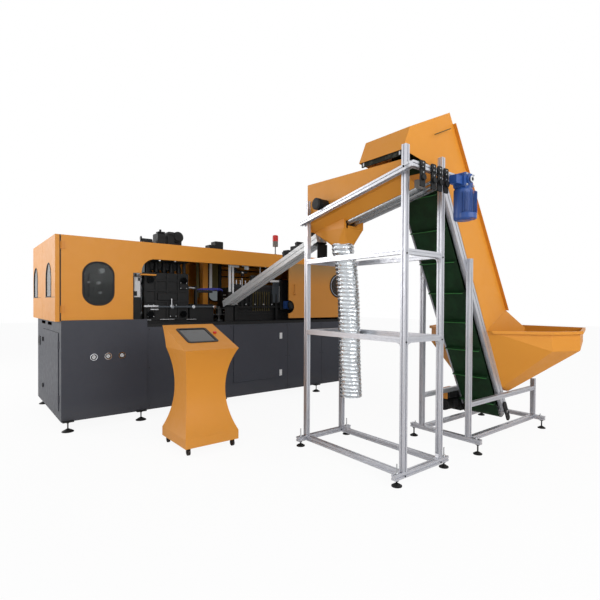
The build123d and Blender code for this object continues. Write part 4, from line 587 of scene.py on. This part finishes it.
def soft_lamp(name, spot, aim, size, power):
    """A large soft box that faces a point."""
    release()
    bpy.ops.object.light_add(type="AREA", location=spot)
    lamp = bpy.context.object
    lamp.name = name
    lamp.data.shape = "RECTANGLE"
    lamp.data.size, lamp.data.size_y = size
    lamp.data.energy = power
    lamp.rotation_euler = (Vector(aim) - Vector(spot)).to_track_quat("-Z", "Y").to_euler()


# Two soft boxes in front, aimed at the middle of the line, and one behind for the left end
soft_lamp("left_fill_light", (-6.5, -3.5, 3.6), (1.5, -0.5, 1.0), (6.0, 4.0), 70)
soft_lamp("front_key_light", (1.2, -10.0, 4.2), (1.8, -0.5, 1.0), (8.0, 4.5), 430)
soft_lamp("back_left_light", (-4.4, 5.0, 3.0), (-0.1, 0.9, 1.5), (4.0, 3.0), 230)

# ---- machine hood
def arch_outline(plane_x, centre_y, bottom, top, width):
    """The outline of an end-door window: a half-round top over straight sides."""
    release()
    radius = width / 2
    middle = top - radius
    bpy.ops.mesh.primitive_circle_add(vertices=64, radius=radius * MM,
                                      location=metres((plane_x, centre_y, middle)),
                                      rotation=(pi / 2, 0, pi / 2))
    ring = freeze(bpy.context.object)
    choose(ring, lambda co: co[2] < middle - 0.1)
    bpy.ops.transform.resize(value=(1, 1, 0), center_override=metres((plane_x, centre_y, middle)))
    bpy.ops.transform.translate(value=(0, 0, (bottom - middle) * MM))
    leave()
    return ring


hood_front, hood_end = 18.0, -117.0
tall_outline = outline_ring((312, hood_front + 3, 1632), 318, 484, 146)
fit(bead(tall_outline, 11), "tall_window_gasket", "epdm_rubber")
for body, side_y, side in (("front_end_door", 457.0, "front"), ("rear_end_door", 1509.0, "rear")):
    arch = arch_outline(hood_end + 2, side_y, 1479, 1868, 364)
    fit(bead(arch, 7), f"arched_window_gasket_{side}", "epdm_rubber", body)
    seam = block((hood_end - 2, side_y - 430, 1472), (hood_end + 1, side_y + 240, 1476), 0.5)
    fit(seam, f"end_door_trim_{side}", "epdm_rubber", body)
fit(block((-75, hood_front - 4, 1210), (-63.5, hood_front + 0.5, 2152), 1), "hood_corner_seal",
    "epdm_rubber", "front_end_door")
fit(block((688, hood_front - 1, 1222), (694, hood_front + 3, 1776), 1), "opening_edge_trim",
    "epdm_rubber")

# Round guard window: black rubber outside, bright clamping ring inside with its screws
guard_x, guard_y, guard_z = 3985.0, -6.0, 1716.0
rubber_radius, ring_radius = 188.0, 172.0
for name, finish, y, radius, thickness in (
        ("guard_window_gasket", "epdm_rubber", guard_y, rubber_radius, 11.0),
        ("guard_window_ring", "ground_steel", guard_y - 1, ring_radius, 6.0)):
    release()
    bpy.ops.mesh.primitive_torus_add(
        location=metres((guard_x, y, guard_z)), rotation=(pi / 2, 0, 0), major_radius=radius * MM,
        minor_radius=thickness * MM, major_segments=72, minor_segments=10)
    fit(bpy.context.object, name, finish, "guard_leaf")
screws = []
for i in range(12):
    turn = i * pi / 6
    spot = (guard_x + ring_radius * cos(turn), guard_y - 4, guard_z + ring_radius * sin(turn))
    screws.append(cap_screw(spot, to_front, 5, 4))
fit(screws, "guard_ring_screws", "zinc_plate", "guard_leaf")

# Guard door handle: a bar on two stubs
handle_x, handle_out = 3060, -34
stubs = [rod((handle_x, -6, z), (handle_x, handle_out, z), 7) for z in (1560, 1700)]
handle_bar = rod((handle_x, handle_out, 1545), (handle_x, handle_out, 1715), 8)
# The handle takes the guard door's orange, darkened with painted shade
fit(stubs + [handle_bar], "guard_door_handle", "shaded_orange_powder_coat", "guard_leaf")

# Gauges: pale dials, black pointers and scale marks inside the bright rims
gauge_first, gauge_pitch, gauge_z, dial_y = 259, 150, 798, 2.6
for i in range(3):
    x, z = gauge_first + gauge_pitch * i, gauge_z
    fit(rod((x, 4.6, z), (x, 3.2, z), 31, 0.4, 40), f"gauge_well_{i}", "black_nylon")
    fit(rod((x, 3.2, z), (x, dial_y, z), 21, 0.2, 40), f"gauge_dial_{i}", "white_enamel")
    centre = (x, dial_y, z)
    scale = [carry(block((-1, -0.8, 15), (1, 0, 20), 0), radians(315 - 27 * step), "Y", centre)
             for step in range(11)]
    pointer = block((-1.2, -1.8, -6), (1.2, -0.6, 17), 0.3)
    scale.append(carry(pointer, radians(-60 + 35 * i), "Y", centre))
    scale.append(rod(centre, (x, -1.5, z), 5, 0.5, 20))
    fit(scale, f"gauge_scale_{i}", "black_nylon")

# Seams of the grey sheets: black joint lines and the screws that hold the panels
fit(block((849, 20, 112), (853, 23, 1214), 0.5), "cabinet_seam_left", "epdm_rubber")
seams = [block((x - 1.5, 20.5, 112), (x + 1.5, 22.6, 1116), 0.4) for x in (1480, 2960, 3640)]
fit(seams, "cabinet_seams", "epdm_rubber")
first_x, first_z = 880, 150
others = [(x - first_x, 0, z - first_z)
          for x in (first_x, 1450, 1510, 1990, 2930, 2990, 3610, 3670, 4300)
          for z in (first_z, 620, 1090) if (x, z) != (first_x, first_z)]
panel_screws = repeated(cap_screw((first_x, 22, first_z), to_front, 6, 4), others)
fit(panel_screws, "cabinet_panel_screws", "black_enamel")

# Air service unit behind the tall window: block, knobs, filter bowls, and the sheet behind them
fit(block((250, 170, 1480), (460, 260, 1760), 8), "service_block", "black_enamel")
knobs = [rod((x, 170, z), (x, y, z), radius, edge)
         for x, y, z, radius, edge in ((365, 84, 1786, 30, 6), (334, 90, 1644, 17, 4),
                                       (350, 90, 1530, 14, 4), (232, 96, 1650, 9, 3))]
fit(knobs, "service_knobs", "white_enamel")
bowls = [rod((x, 150, z), (x, 150, z - 60), 18, 6) for x, z in ((300, 1600), (384, 1580))]
fit(bowls, "filter_bowls", "oiled_steel")
fit(block((90, 262, 1220), (620, 266, 2060), 1), "service_back_sheet", "black_enamel")

# ---- machine bay
# Folded shelf and rail across the head of the opening
shelf = blocks(((792, 96, 1757), (990, 112, 1775), 2), ((792, 112, 1757), (990, 150, 1760), 1))
fit(shelf, "bay_shelf", "orange_powder_coat")
header = blocks(((800, 64, 1958), (2900, 98, 1982), 2), ((800, 98, 1958), (2900, 128, 1964), 1))
fit(header, "opening_header", "black_enamel")
header_bolts = repeated(hex_bolt((1017, 64, 1950), to_front, 9, 9),
                        [(198, 0, 2), (1180, 0, 6), (1560, 0, 6)])
fit(header_bolts, "header_bolts", "zinc_plate")

# Clamp front plate: cast ribs, drilled pads and cover plates
ribs = [block((876, 168, z), (1434, 180, z + 26), 3) for z in (1196, 1420, 1560, 1690)]
ribs += [block((x, 166, 1190), (x + 24, 180, 1796), 3) for x in (1000, 1144, 1290)]
ribs.append(block((1030, 158, 1450), (1280, 180, 1540), 5))
fit(ribs, "clamp_plate_ribs", "black_enamel")
covers = blocks(((900, 160, 1230), (990, 168, 1400), 4), ((1180, 160, 1230), (1280, 168, 1400), 4),
                ((1320, 160, 1600), (1420, 168, 1690), 4))
fit(covers, "clamp_cover_plates", "black_enamel")
shifts = [(x, 0, z) for x, z in (
    (66, 0), (0, 144), (66, 144), (280, 0), (356, 0), (280, 144), (356, 144),
    (418, 366), (496, 366), (418, 436), (496, 436))]
cover_screws = repeated(cap_screw((912, 160, 1244), to_front, 6, 6), shifts)
fit(cover_screws, "clamp_cover_screws", "zinc_plate")
bar = blocks(((850, 132, 1362), (1030, 150, 1386), 3), ((930, 128, 1326), (1030, 146, 1340), 2))
fit(bar, "clamp_guide_bar", "ground_steel")
fit(blocks(((1030, 136, 1358), (1840, 150, 1378), 2), ((1030, 150, 1352), (1060, 180, 1384), 2),
           ((1410, 150, 1352), (1440, 180, 1384), 2), ((1780, 150, 1352), (1812, 200, 1384), 2)),
    "transfer_rail", "dark_grey_enamel")
rail_nuts = [hex_bolt((x, 136, 1368), to_front, 14, 16) for x in (1206, 1496, 1796)]
fit(rail_nuts, "transfer_rail_nuts", "hard_chrome")
fit(rod((1202, 140, 1384), (1202, 140, 1474), 7), "adjuster_pin", "hard_chrome")
lines = [rod((x0, 172, z), (x1, 172, z), 7)
         for x0, x1, z in ((1060, 1250, 1203), (1415, 1550, 1197), (876, 950, 1200))]
fit(lines, "clamp_oil_lines", "ground_steel")

# Blow cylinders that stand over the clamp between the two plates
for i, x in enumerate((955, 1055, 1155, 1255, 1355)):
    turned = [rod((x, 300, low), (x, 300, high), radius, edge) for low, high, radius, edge in (
        (1812, 1890, 30, 2), (1890, 1936, 22, 2), (1936, 1944, 34, 1))]
    fit(turned, f"blow_cylinder_{i}", "black_enamel")

# Air manifold with its steel cylinder and a fan of air tubes over the transfer table
fit(rod((1447, 250, 1627), (1575, 250, 1620), 16, 2), "transfer_cylinder", "ground_steel")
fit(blocks(((1442, 226, 1400), (1470, 274, 1650), 3), ((1560, 226, 1400), (1590, 274, 1650), 3),
           ((1590, 220, 1560), (1812, 268, 1592), 4)), "air_manifold", "black_enamel")
pipe_count = 7
fittings = [rod((x, 244, 1592), (x, 244, 1612), 9, 1, 12)
            for x in range(1612, 1612 + 29 * pipe_count, 29)]
fit(fittings, "air_fittings", "black_nylon")
# Rigid nylon air pipes clipped to the manifold, stepped so that each reaches its own fitting
pipes = []
for i in range(pipe_count):
    z = 1600 + 6 * (i % 3)
    bend = (1800 + 27 * i, 238 + 4 * (i % 3), z + 14)
    pipes.append(rod((1575 + 30 * i, 238 - 3 * (i % 2), z), bend, 6, 1, 14))
    pipes.append(rod(bend, (1830 + 24 * i, 246, z - 10), 6, 1, 14))
fit(pipes, "air_pipes", "blue_air_tube")

# Carrier columns and the pick arm of the preform transfer
posts = blocks(((2074, 236, 1580), (2106, 262, 1980), 2), ((2128, 236, 1560), (2152, 262, 1980), 2),
               ((2074, 230, 1940), (2236, 240, 1978), 3))
fit(posts, "transfer_columns", "white_enamel")
fit(block((2066, 240, 1400), (2160, 270, 1580), 3), "column_foot", "black_enamel")
arm = [block((2180, 270, 1862), (2400, 330, 1896), 10),
       rod((2206, 300, 1896), (2206, 300, 1934), 30, 3),
       rod((2330, 300, 1820), (2330, 300, 1866), 24, 3),
       block((2110, 264, 1868), (2200, 300, 1890), 4)]
fit(arm, "pick_arm", "black_enamel")
cap = [block((2336, 236, 1916), (2400, 262, 1980), 5),
       rod((2296, 262, 1874), (2322, 262, 1868), 9, 1, 16)]
fit(cap, "arm_cap", "white_enamel")
fit(block((2593, 236, 1800), (2603, 246, 1966), 1), "guide_strip", "white_enamel")
grippers = [block((x, 236, 1690), (x + 15, 250, 1758), 4) for x in (2187, 2252, 2336, 2404)]
fit(grippers, "preform_grippers", "ground_steel")

# White-cased valve column on the left of the clamp, in a black bracket
column = blocks(((756, 206, 1484), (834, 286, 1740), 8), ((760, 200, 1600), (830, 206, 1640), 2),
                ((766, 200, 1690), (800, 206, 1726), 2))
fit(column, "valve_column", "white_enamel")
fit(blocks(((750, 205, 1180), (838, 290, 1478), 5), ((750, 204, 1500), (790, 207, 1560), 1),
           ((800, 203, 1690), (826, 207, 1730), 1)), "valve_bracket", "black_enamel")

# Orange post and door frame that stand between the clamp and the heating tunnel
fit(block((1888, 700, 1180), (1970, 802, 2126), 4), "bay_post", "orange_powder_coat")
fit(blocks(((1976, 706, 1180), (1994, 800, 2126), 3), ((2150, 706, 1180), (2196, 760, 2126), 3),
           ((1976, 706, 2040), (2196, 730, 2070), 2)), "bay_door_frame", "black_enamel")
# The white door edge is partly painted light: its white also stands for the bright background that
# shows through the machine beside the post
fit(block((2000, 720, 1620), (2046, 735, 2036), 3), "bay_door_edge_and_light_strip", "white_enamel")
fit(blocks(((2050, 722, 1600), (2148, 730, 2036), 2), ((1792, 720, 1500), (1838, 728, 2020), 2)),
    "bay_door_panel", "yellow_passivated_sheet")
sheets = blocks(((1620, 1180, 1190), (1880, 1186, 2100), 2),
                ((2260, 1180, 1660), (3640, 1186, 2120), 2))
fit(sheets, "inner_back_sheets", "orange_powder_coat")
rails = [block((2270, 1166, z), (3640, 1180, z + 16), 2) for z in (1850, 1960, 2030)]
fit(rails, "back_sheet_rails", "black_enamel")
# Small passivated plates on the cylinders over the clamp
plates = [block((x, 300, z), (x + width, 306, z + 26), 1)
          for x, z, width in ((905, 1986, 90), (915, 1940, 80), (1085, 1976, 86), (1090, 1936, 70))]
fit(plates, "clamp_top_plates", "yellow_passivated_sheet")

# Spindle chain in front of the heating tunnel
spindle_x, spindle_y, chain_pitch = 2200, 232, 76
spindle = [rod((spindle_x, spindle_y, low), (spindle_x, spindle_y, high), radius, edge, sides)
           for low, high, radius, edge, sides in (
               (1372, 1396, 17, 2, 20), (1396, 1440, 10, 1, 16), (1440, 1446, 16, 1, 20),
               (1446, 1560, 11, 3, 16))]
spindles = repeated(merge(spindle), [(chain_pitch * i, 0, 0) for i in range(1, 19)])
fit(spindles, "oven_spindles", "black_enamel")
sleeve = rod((spindle_x, spindle_y, 1396), (spindle_x, spindle_y, 1410), 12, 1, 18)
sleeves = repeated(sleeve, [(2 * chain_pitch * i, 0, 0) for i in range(1, 9)])
fit(sleeves, "spindle_sleeves", "ground_steel")
fit(blocks(((2150, 200, 1352), (3620, 258, 1372), 3), ((2150, 204, 1160), (2190, 254, 1352), 3),
           ((2860, 204, 1160), (2900, 254, 1352), 3), ((3580, 204, 1160), (3620, 254, 1352), 3)),
    "spindle_rail", "black_enamel")

# Oven front: louvred reflector panels with stays, cable duct, posts, air nozzle and cases
louvre_bay, louvre_pitch = 248, 44
louvres = [block((x, 252, z), (x + 232, 259, z + 28), 3)
           for x in range(2130, 2130 + 6 * louvre_bay, louvre_bay)
           for z in range(1240, 1240 + 9 * louvre_pitch, louvre_pitch)]
fit(louvres, "oven_louvres", "black_enamel")
stays = [block((2476 + 40 * i, 244, 1300), (2488 + 40 * i, 251, 1596), 2) for i in range(8)]
fit(stays, "reflector_stays", "yellow_passivated_sheet")
fit(block((2120, 262, 1652), (3620, 330, 1700), 4), "oven_cable_duct", "black_nylon")
brackets = [block((x, 250, 1640), (x + 12, 262, 1790), 2) for x in (2290, 2444, 2584, 2866, 2958)]
fit(brackets, "oven_posts", "ground_steel")
fit(block((2784, 236, 1744), (3002, 262, 1782), 6), "oven_air_nozzle", "white_enamel")
fit(block((2944, 190, 1314), (3160, 251, 1786), 6), "end_gear_case", "black_enamel")
fit(blocks(((2812, 232, 1430), (2974, 250, 1700), 6), ((2826, 232, 1700), (2950, 250, 1752), 14)),
    "oven_control_box", "dark_grey_enamel")
fit(block((2940, 229, 1440), (2946, 232, 1690), 0.5), "control_box_edge", "white_enamel")

# Blue drive seen through the guard door's notch
drive_x, drive_z = 3050, 1396


def drive_disc(near, far, radius, edge):
    """A turned part on the axis of the blue drive."""
    return rod((drive_x, near, drive_z), (drive_x, far, drive_z), radius, edge, 40)


drive = [drive_disc(30, 130, 66, 6), drive_disc(30, 20, 52, 5),
         block((2990, 128, 1336), (3110, 190, 1456), 6)]
fit(drive, "chain_drive_motor", "blue_motor_enamel")
cowl = [drive_disc(18, 60, 76, 6), drive_disc(18, 10, 60, 4)]
fit(cowl, "chain_motor_cowl", "black_enamel")

# ---- above the hood
# Finned cover on the stretch drive, hose ends and cable boxes
fin_x, fin_z = 1322, 2289
fins = [rod((fin_x, y, fin_z), (fin_x, y + 4, fin_z), 72, 0.5, 36) for y in range(232, 377, 12)]
fins.append(rod((fin_x, 214, fin_z), (fin_x, 230, fin_z), 58, 5, 36))
fit(fins, "stretch_drive_fins", "black_enamel")
boxes = [block((1190, 222, 2310), (1262, 300, 2348), 5),
         block((1062, 232, 2326), (1150, 330, 2340), 4),
         rod((1092, 250, 2338), (1092, 250, 2366), 14, 2),
         rod((872, 300, 2236), (858, 300, 2236), 30, 3)]
fit(boxes, "drive_boxes", "black_nylon")

# ---- foil waste duct
# Centre line from the clamped neck to the open lower end, which hangs a little to the right
neck_x, neck_y = 2010, -2240
duct_route = [(x, neck_y, z) for x, z in (
    (neck_x, 2006), (2012, 1960), (2050, 1830), (2078, 1640), (2096, 1400), (2106, 1150),
    (2112, 900), (2126, 640), (2136, 482))]
duct_rib_pitch, duct_rib_height, duct_mean_radius, duct_lumps = 38.0, 5.5, 107.0, 0.8


def on_route(share):
    """A point of the duct's centre line, by its share of the drop; it eases into its lean."""
    z = duct_route[0][2] + share * (duct_route[-1][2] - duct_route[0][2])
    for upper, lower in zip(duct_route, duct_route[1:]):
        if lower[2] <= z:
            part = (z - upper[2]) / (lower[2] - upper[2])
            part_x = part * part * (3 - 2 * part) if upper is duct_route[1] else part
            return Vector((upper[0] + part_x * (lower[0] - upper[0]), upper[1], z))
    return Vector(duct_route[-1])


release()
bpy.ops.mesh.primitive_grid_add(x_subdivisions=72, y_subdivisions=400, size=2)
duct = freeze(bpy.context.object)
for corner in duct.data.vertices:
    around, along = (corner.co.x + 1) * pi, (corner.co.y + 1) / 2
    centre = on_route(along)
    turns = centre.z / duct_rib_pitch + around / (2 * pi)
    rib = abs((turns % 1) - 0.5) * 2
    lump = duct_lumps * sin(around * 5 + centre.z * 0.021)
    radius = duct_mean_radius + duct_rib_height * rib ** 2 + lump
    corner.co = metres(centre + Vector((radius * cos(around), radius * sin(around), 0)))
choose(duct, lambda co: True)
bpy.ops.mesh.remove_doubles(threshold=0.0002)
bpy.ops.mesh.normals_make_consistent(inside=False)
leave()
crumple_texture = bpy.data.textures.new("foil_crumple", "VORONOI")
crumple_texture.noise_scale = 0.028
apply_modifier(duct, "DISPLACE", texture=crumple_texture, strength=0.0055, mid_level=0.5)
apply_modifier(duct, "SOLIDIFY", thickness=0.0012, offset=-1)
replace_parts(fit(duct, "foil_duct_skin", "crinkled_aluminium_foil"), "waste_duct")
neck = rod((neck_x, neck_y, 1922), (neck_x, neck_y, 2014), 97, 1, 56)
band = rod((neck_x, neck_y, 1944), (neck_x, neck_y, 1956), 103, 1, 56)
screw_box = block((1990, -2352, 1942), (2024, -2336, 1958), 2)
fit([neck, band, screw_box], "duct_neck_clamp", "ground_steel")

# ---- unscrambler stand
# Hexagon nuts and the free ends of the levelling screws above the base rails
stand_base, lift_base = 96, 140
stand_feet = [(x, y, stand_base) for x in (1697, 2324) for y in (-3213.5, -1978.5)]
lift_feet = [(x, y, lift_base) for x in (2857.5, 4235.5) for y in (-3210, -2491)]
screw_ends = []
for x, y, z in stand_feet + lift_feet:
    free_end = 78 if z == stand_base else 24
    screw_ends += [rod((x, y, z + low), (x, y, z + high), radius, 0.8, sides)
                   for low, high, radius, sides in (
                       (0, free_end, 5, 14), (0, 9, 13, 6), (-52, -46, 14, 20))]
fit(screw_ends, "levelling_screw_ends", "zinc_plate")

# Die-cast corner brackets inside the profile joints, each turned from one that lies along X
front_y, middle_rail, upper_rail = -3213.5, 1113, 1814
left_post, right_post, left_face, right_face = 1771.5, 2249.5, 1794, 2227
gusset = block((0, -18, 0), (42, 18, 42), 1)
choose(gusset, lambda co: co[0] > 30 and co[2] > 30)
bpy.ops.transform.translate(value=metres((-30, 0, -30)))
leave()
quarter = Matrix.Rotation(pi / 2, 4, "Y")
brackets = []
for turn, spots in (
        (Matrix(), [(left_face, front_y, stand_base)]),
        (quarter @ quarter, [(right_face, front_y, z) for z in (middle_rail, upper_rail)]),
        (quarter, [(left_face, front_y, z) for z in (middle_rail, upper_rail)]),
        (quarter.inverted(), [(right_face, front_y, stand_base)]),
        (Matrix.Rotation(pi / 2, 4, "Z") @ quarter,
         [(x, -3191, z) for x, z in (
             (right_post, middle_rail), (right_post, upper_rail), (left_post, middle_rail))])):
    for spot in spots:
        bracket = copies(gusset, [(0, 0, 0)])[0]
        bracket.data.transform(Matrix.Translation(metres(spot)) @ turn)
        brackets.append(bracket)
bpy.data.objects.remove(gusset)
fit(brackets, "corner_brackets", "anodised_aluminium")

# T-slot bolts where the rails meet the posts
joint_bolts = [cap_screw((2272, front_y, z), (1, 0, 0), 7, 5) for z in (1070, 1136, 1780, 1836)]
joint_bolts += [cap_screw((x, -3236, z), to_front, 7, 5)
                for x in (left_post, right_post) for z in (1120, 1820, 66)]
fit(joint_bolts, "joint_bolts", "black_nylon")

# ---- unscrambler head
# Flanged bearings, their screws and packing on the bearing plates
plate_front = -3359.0
flanges, screws = [], []
for x in (1805, 1943, 2027, 2111):
    flanges.append(rod((x, plate_front, 2390), (x, plate_front - 16, 2390), 24, 2, 32))
    flanges.append(block((x - 20, plate_front - 7, 2452), (x + 20, plate_front, 2480), 3))
    screws += [cap_screw((x + side, plate_front - 7, 2466), to_front, 5, 4) for side in (-14, 14)]
    screws += [cap_screw((x, plate_front, z), to_front, 6, 4) for z in (2428, 2500)]
fit(flanges, "roller_bearing_flanges", "black_enamel")
fit(screws, "bearing_screws", "zinc_plate")

# Gear unit's output ring and bolts, and the motor's fins and lower cowl
gear_x, gear_z, gear_front = 2290.0, 2438.0, -3475.0
ring_x, ring_z = gear_x + 6, gear_z + 6
output_ring = rod((ring_x, gear_front - 6, ring_z), (ring_x, gear_front - 1, ring_z), 27, 1, 40)
fit(output_ring, "output_ring", "white_enamel")
output_bore = rod((ring_x, gear_front - 8, ring_z), (ring_x, gear_front - 6, ring_z), 15, 1, 32)
fit(output_bore, "output_bore", "black_nylon")
gear_bolts = [hex_bolt((gear_x + sx * 48, gear_front + 12, gear_z + sz * 44), to_front, 6, 6)
              for sx in (-1, 1) for sz in (-1, 1)]
fit(gear_bolts, "gear_unit_bolts", "zinc_plate")
motor_x, motor_y, fin_count = 2296.0, -3432.0, 28
fins = [carry(block((70, -1.6, 2170), (80, 1.6, 2342), 1), 2 * pi * i / fin_count, "Z",
              (motor_x, motor_y, 0)) for i in range(fin_count)]
fins.append(rod((motor_x, motor_y, 2122), (motor_x, motor_y, 2172), 79, 6, 40))
fit(fins, "motor_fins", "blue_motor_enamel")

# Belt tensioner of the rollers, cooling fins of the kicker motor, and the brush that hangs in
# front of the elevator head's outlet
fit(block((1818, -3300, 2330), (1880, -3262, 2392), 6), "roller_tensioner", "grey_nylon")
hub_y, hub_z = -2228.0, 2362.0
fins = [rod((x, hub_y, hub_z), (x - 4, hub_y, hub_z), 56, 1, 32) for x in (1712, 1692, 1672)]
fit(fins, "kicker_motor_fins", "black_enamel")
fit(block((1886, -3094, 2650), (1896, -2616, 2712), 1), "outlet_brush", "brush_bristle")
holders = [block((1882, y, 2656), (1887, y + 16, 2704), 1) for y in (-3068, -2652)]
fit(holders, "brush_holder", "ground_steel")

# Folded stiffener on the head's side and bolts through the sloping rail
stiffener = rod((2259, -3137, 2896), (2498, -3137, 3009), 4, 1, 12)
fit(stiffener, "head_stiffener", "yellow_passivated_sheet")
rail_bolts = [cap_screw((x, -3262, z), to_front, 9, 6) for x, z in ((1685, 2472), (1717, 2488))]
fit(rail_bolts, "sloping_rail_bolts", "black_nylon")

# Painted highlight along the tips of the cleats on the returning side of the belt, which faces the
# stand
run_angle = radians(62.5)
down = Vector((cos(run_angle), 0, -sin(run_angle)))
out = Vector((sin(run_angle), 0, cos(run_angle)))
cleat_first, cleat_pitch, returning_side = -1366, 332, 3235
places = [down * (cleat_first + cleat_pitch * i) + out * returning_side for i in range(9)]
tips = [rod((place.x, -3053, place.z), (place.x, -2648, place.z), 4.5, 1, 10) for place in places]
fit(tips, "cleat_tips", "cleat_highlight_pvc")

# Bent carrier plate over the lift gearmotor, its gear case and its terminal box
# The plate takes the orange darkened with painted shade
plate = blocks(((3300, -2590, 448), (3520, -2470, 458), 2),
               ((3300, -2590, 352), (3308, -2470, 448), 2))
fit(plate, "lift_motor_plate", "shaded_orange_powder_coat")
case = blocks(((3340, -2586, 350), (3560, -2474, 436), 10),
              ((3560, -2570, 300), (3640, -2490, 380), 12))
fit(case, "lift_gear_case", "black_enamel")
fit(block((3420, -2600, 250), (3500, -2588, 330), 5), "lift_terminal_box", "black_nylon")
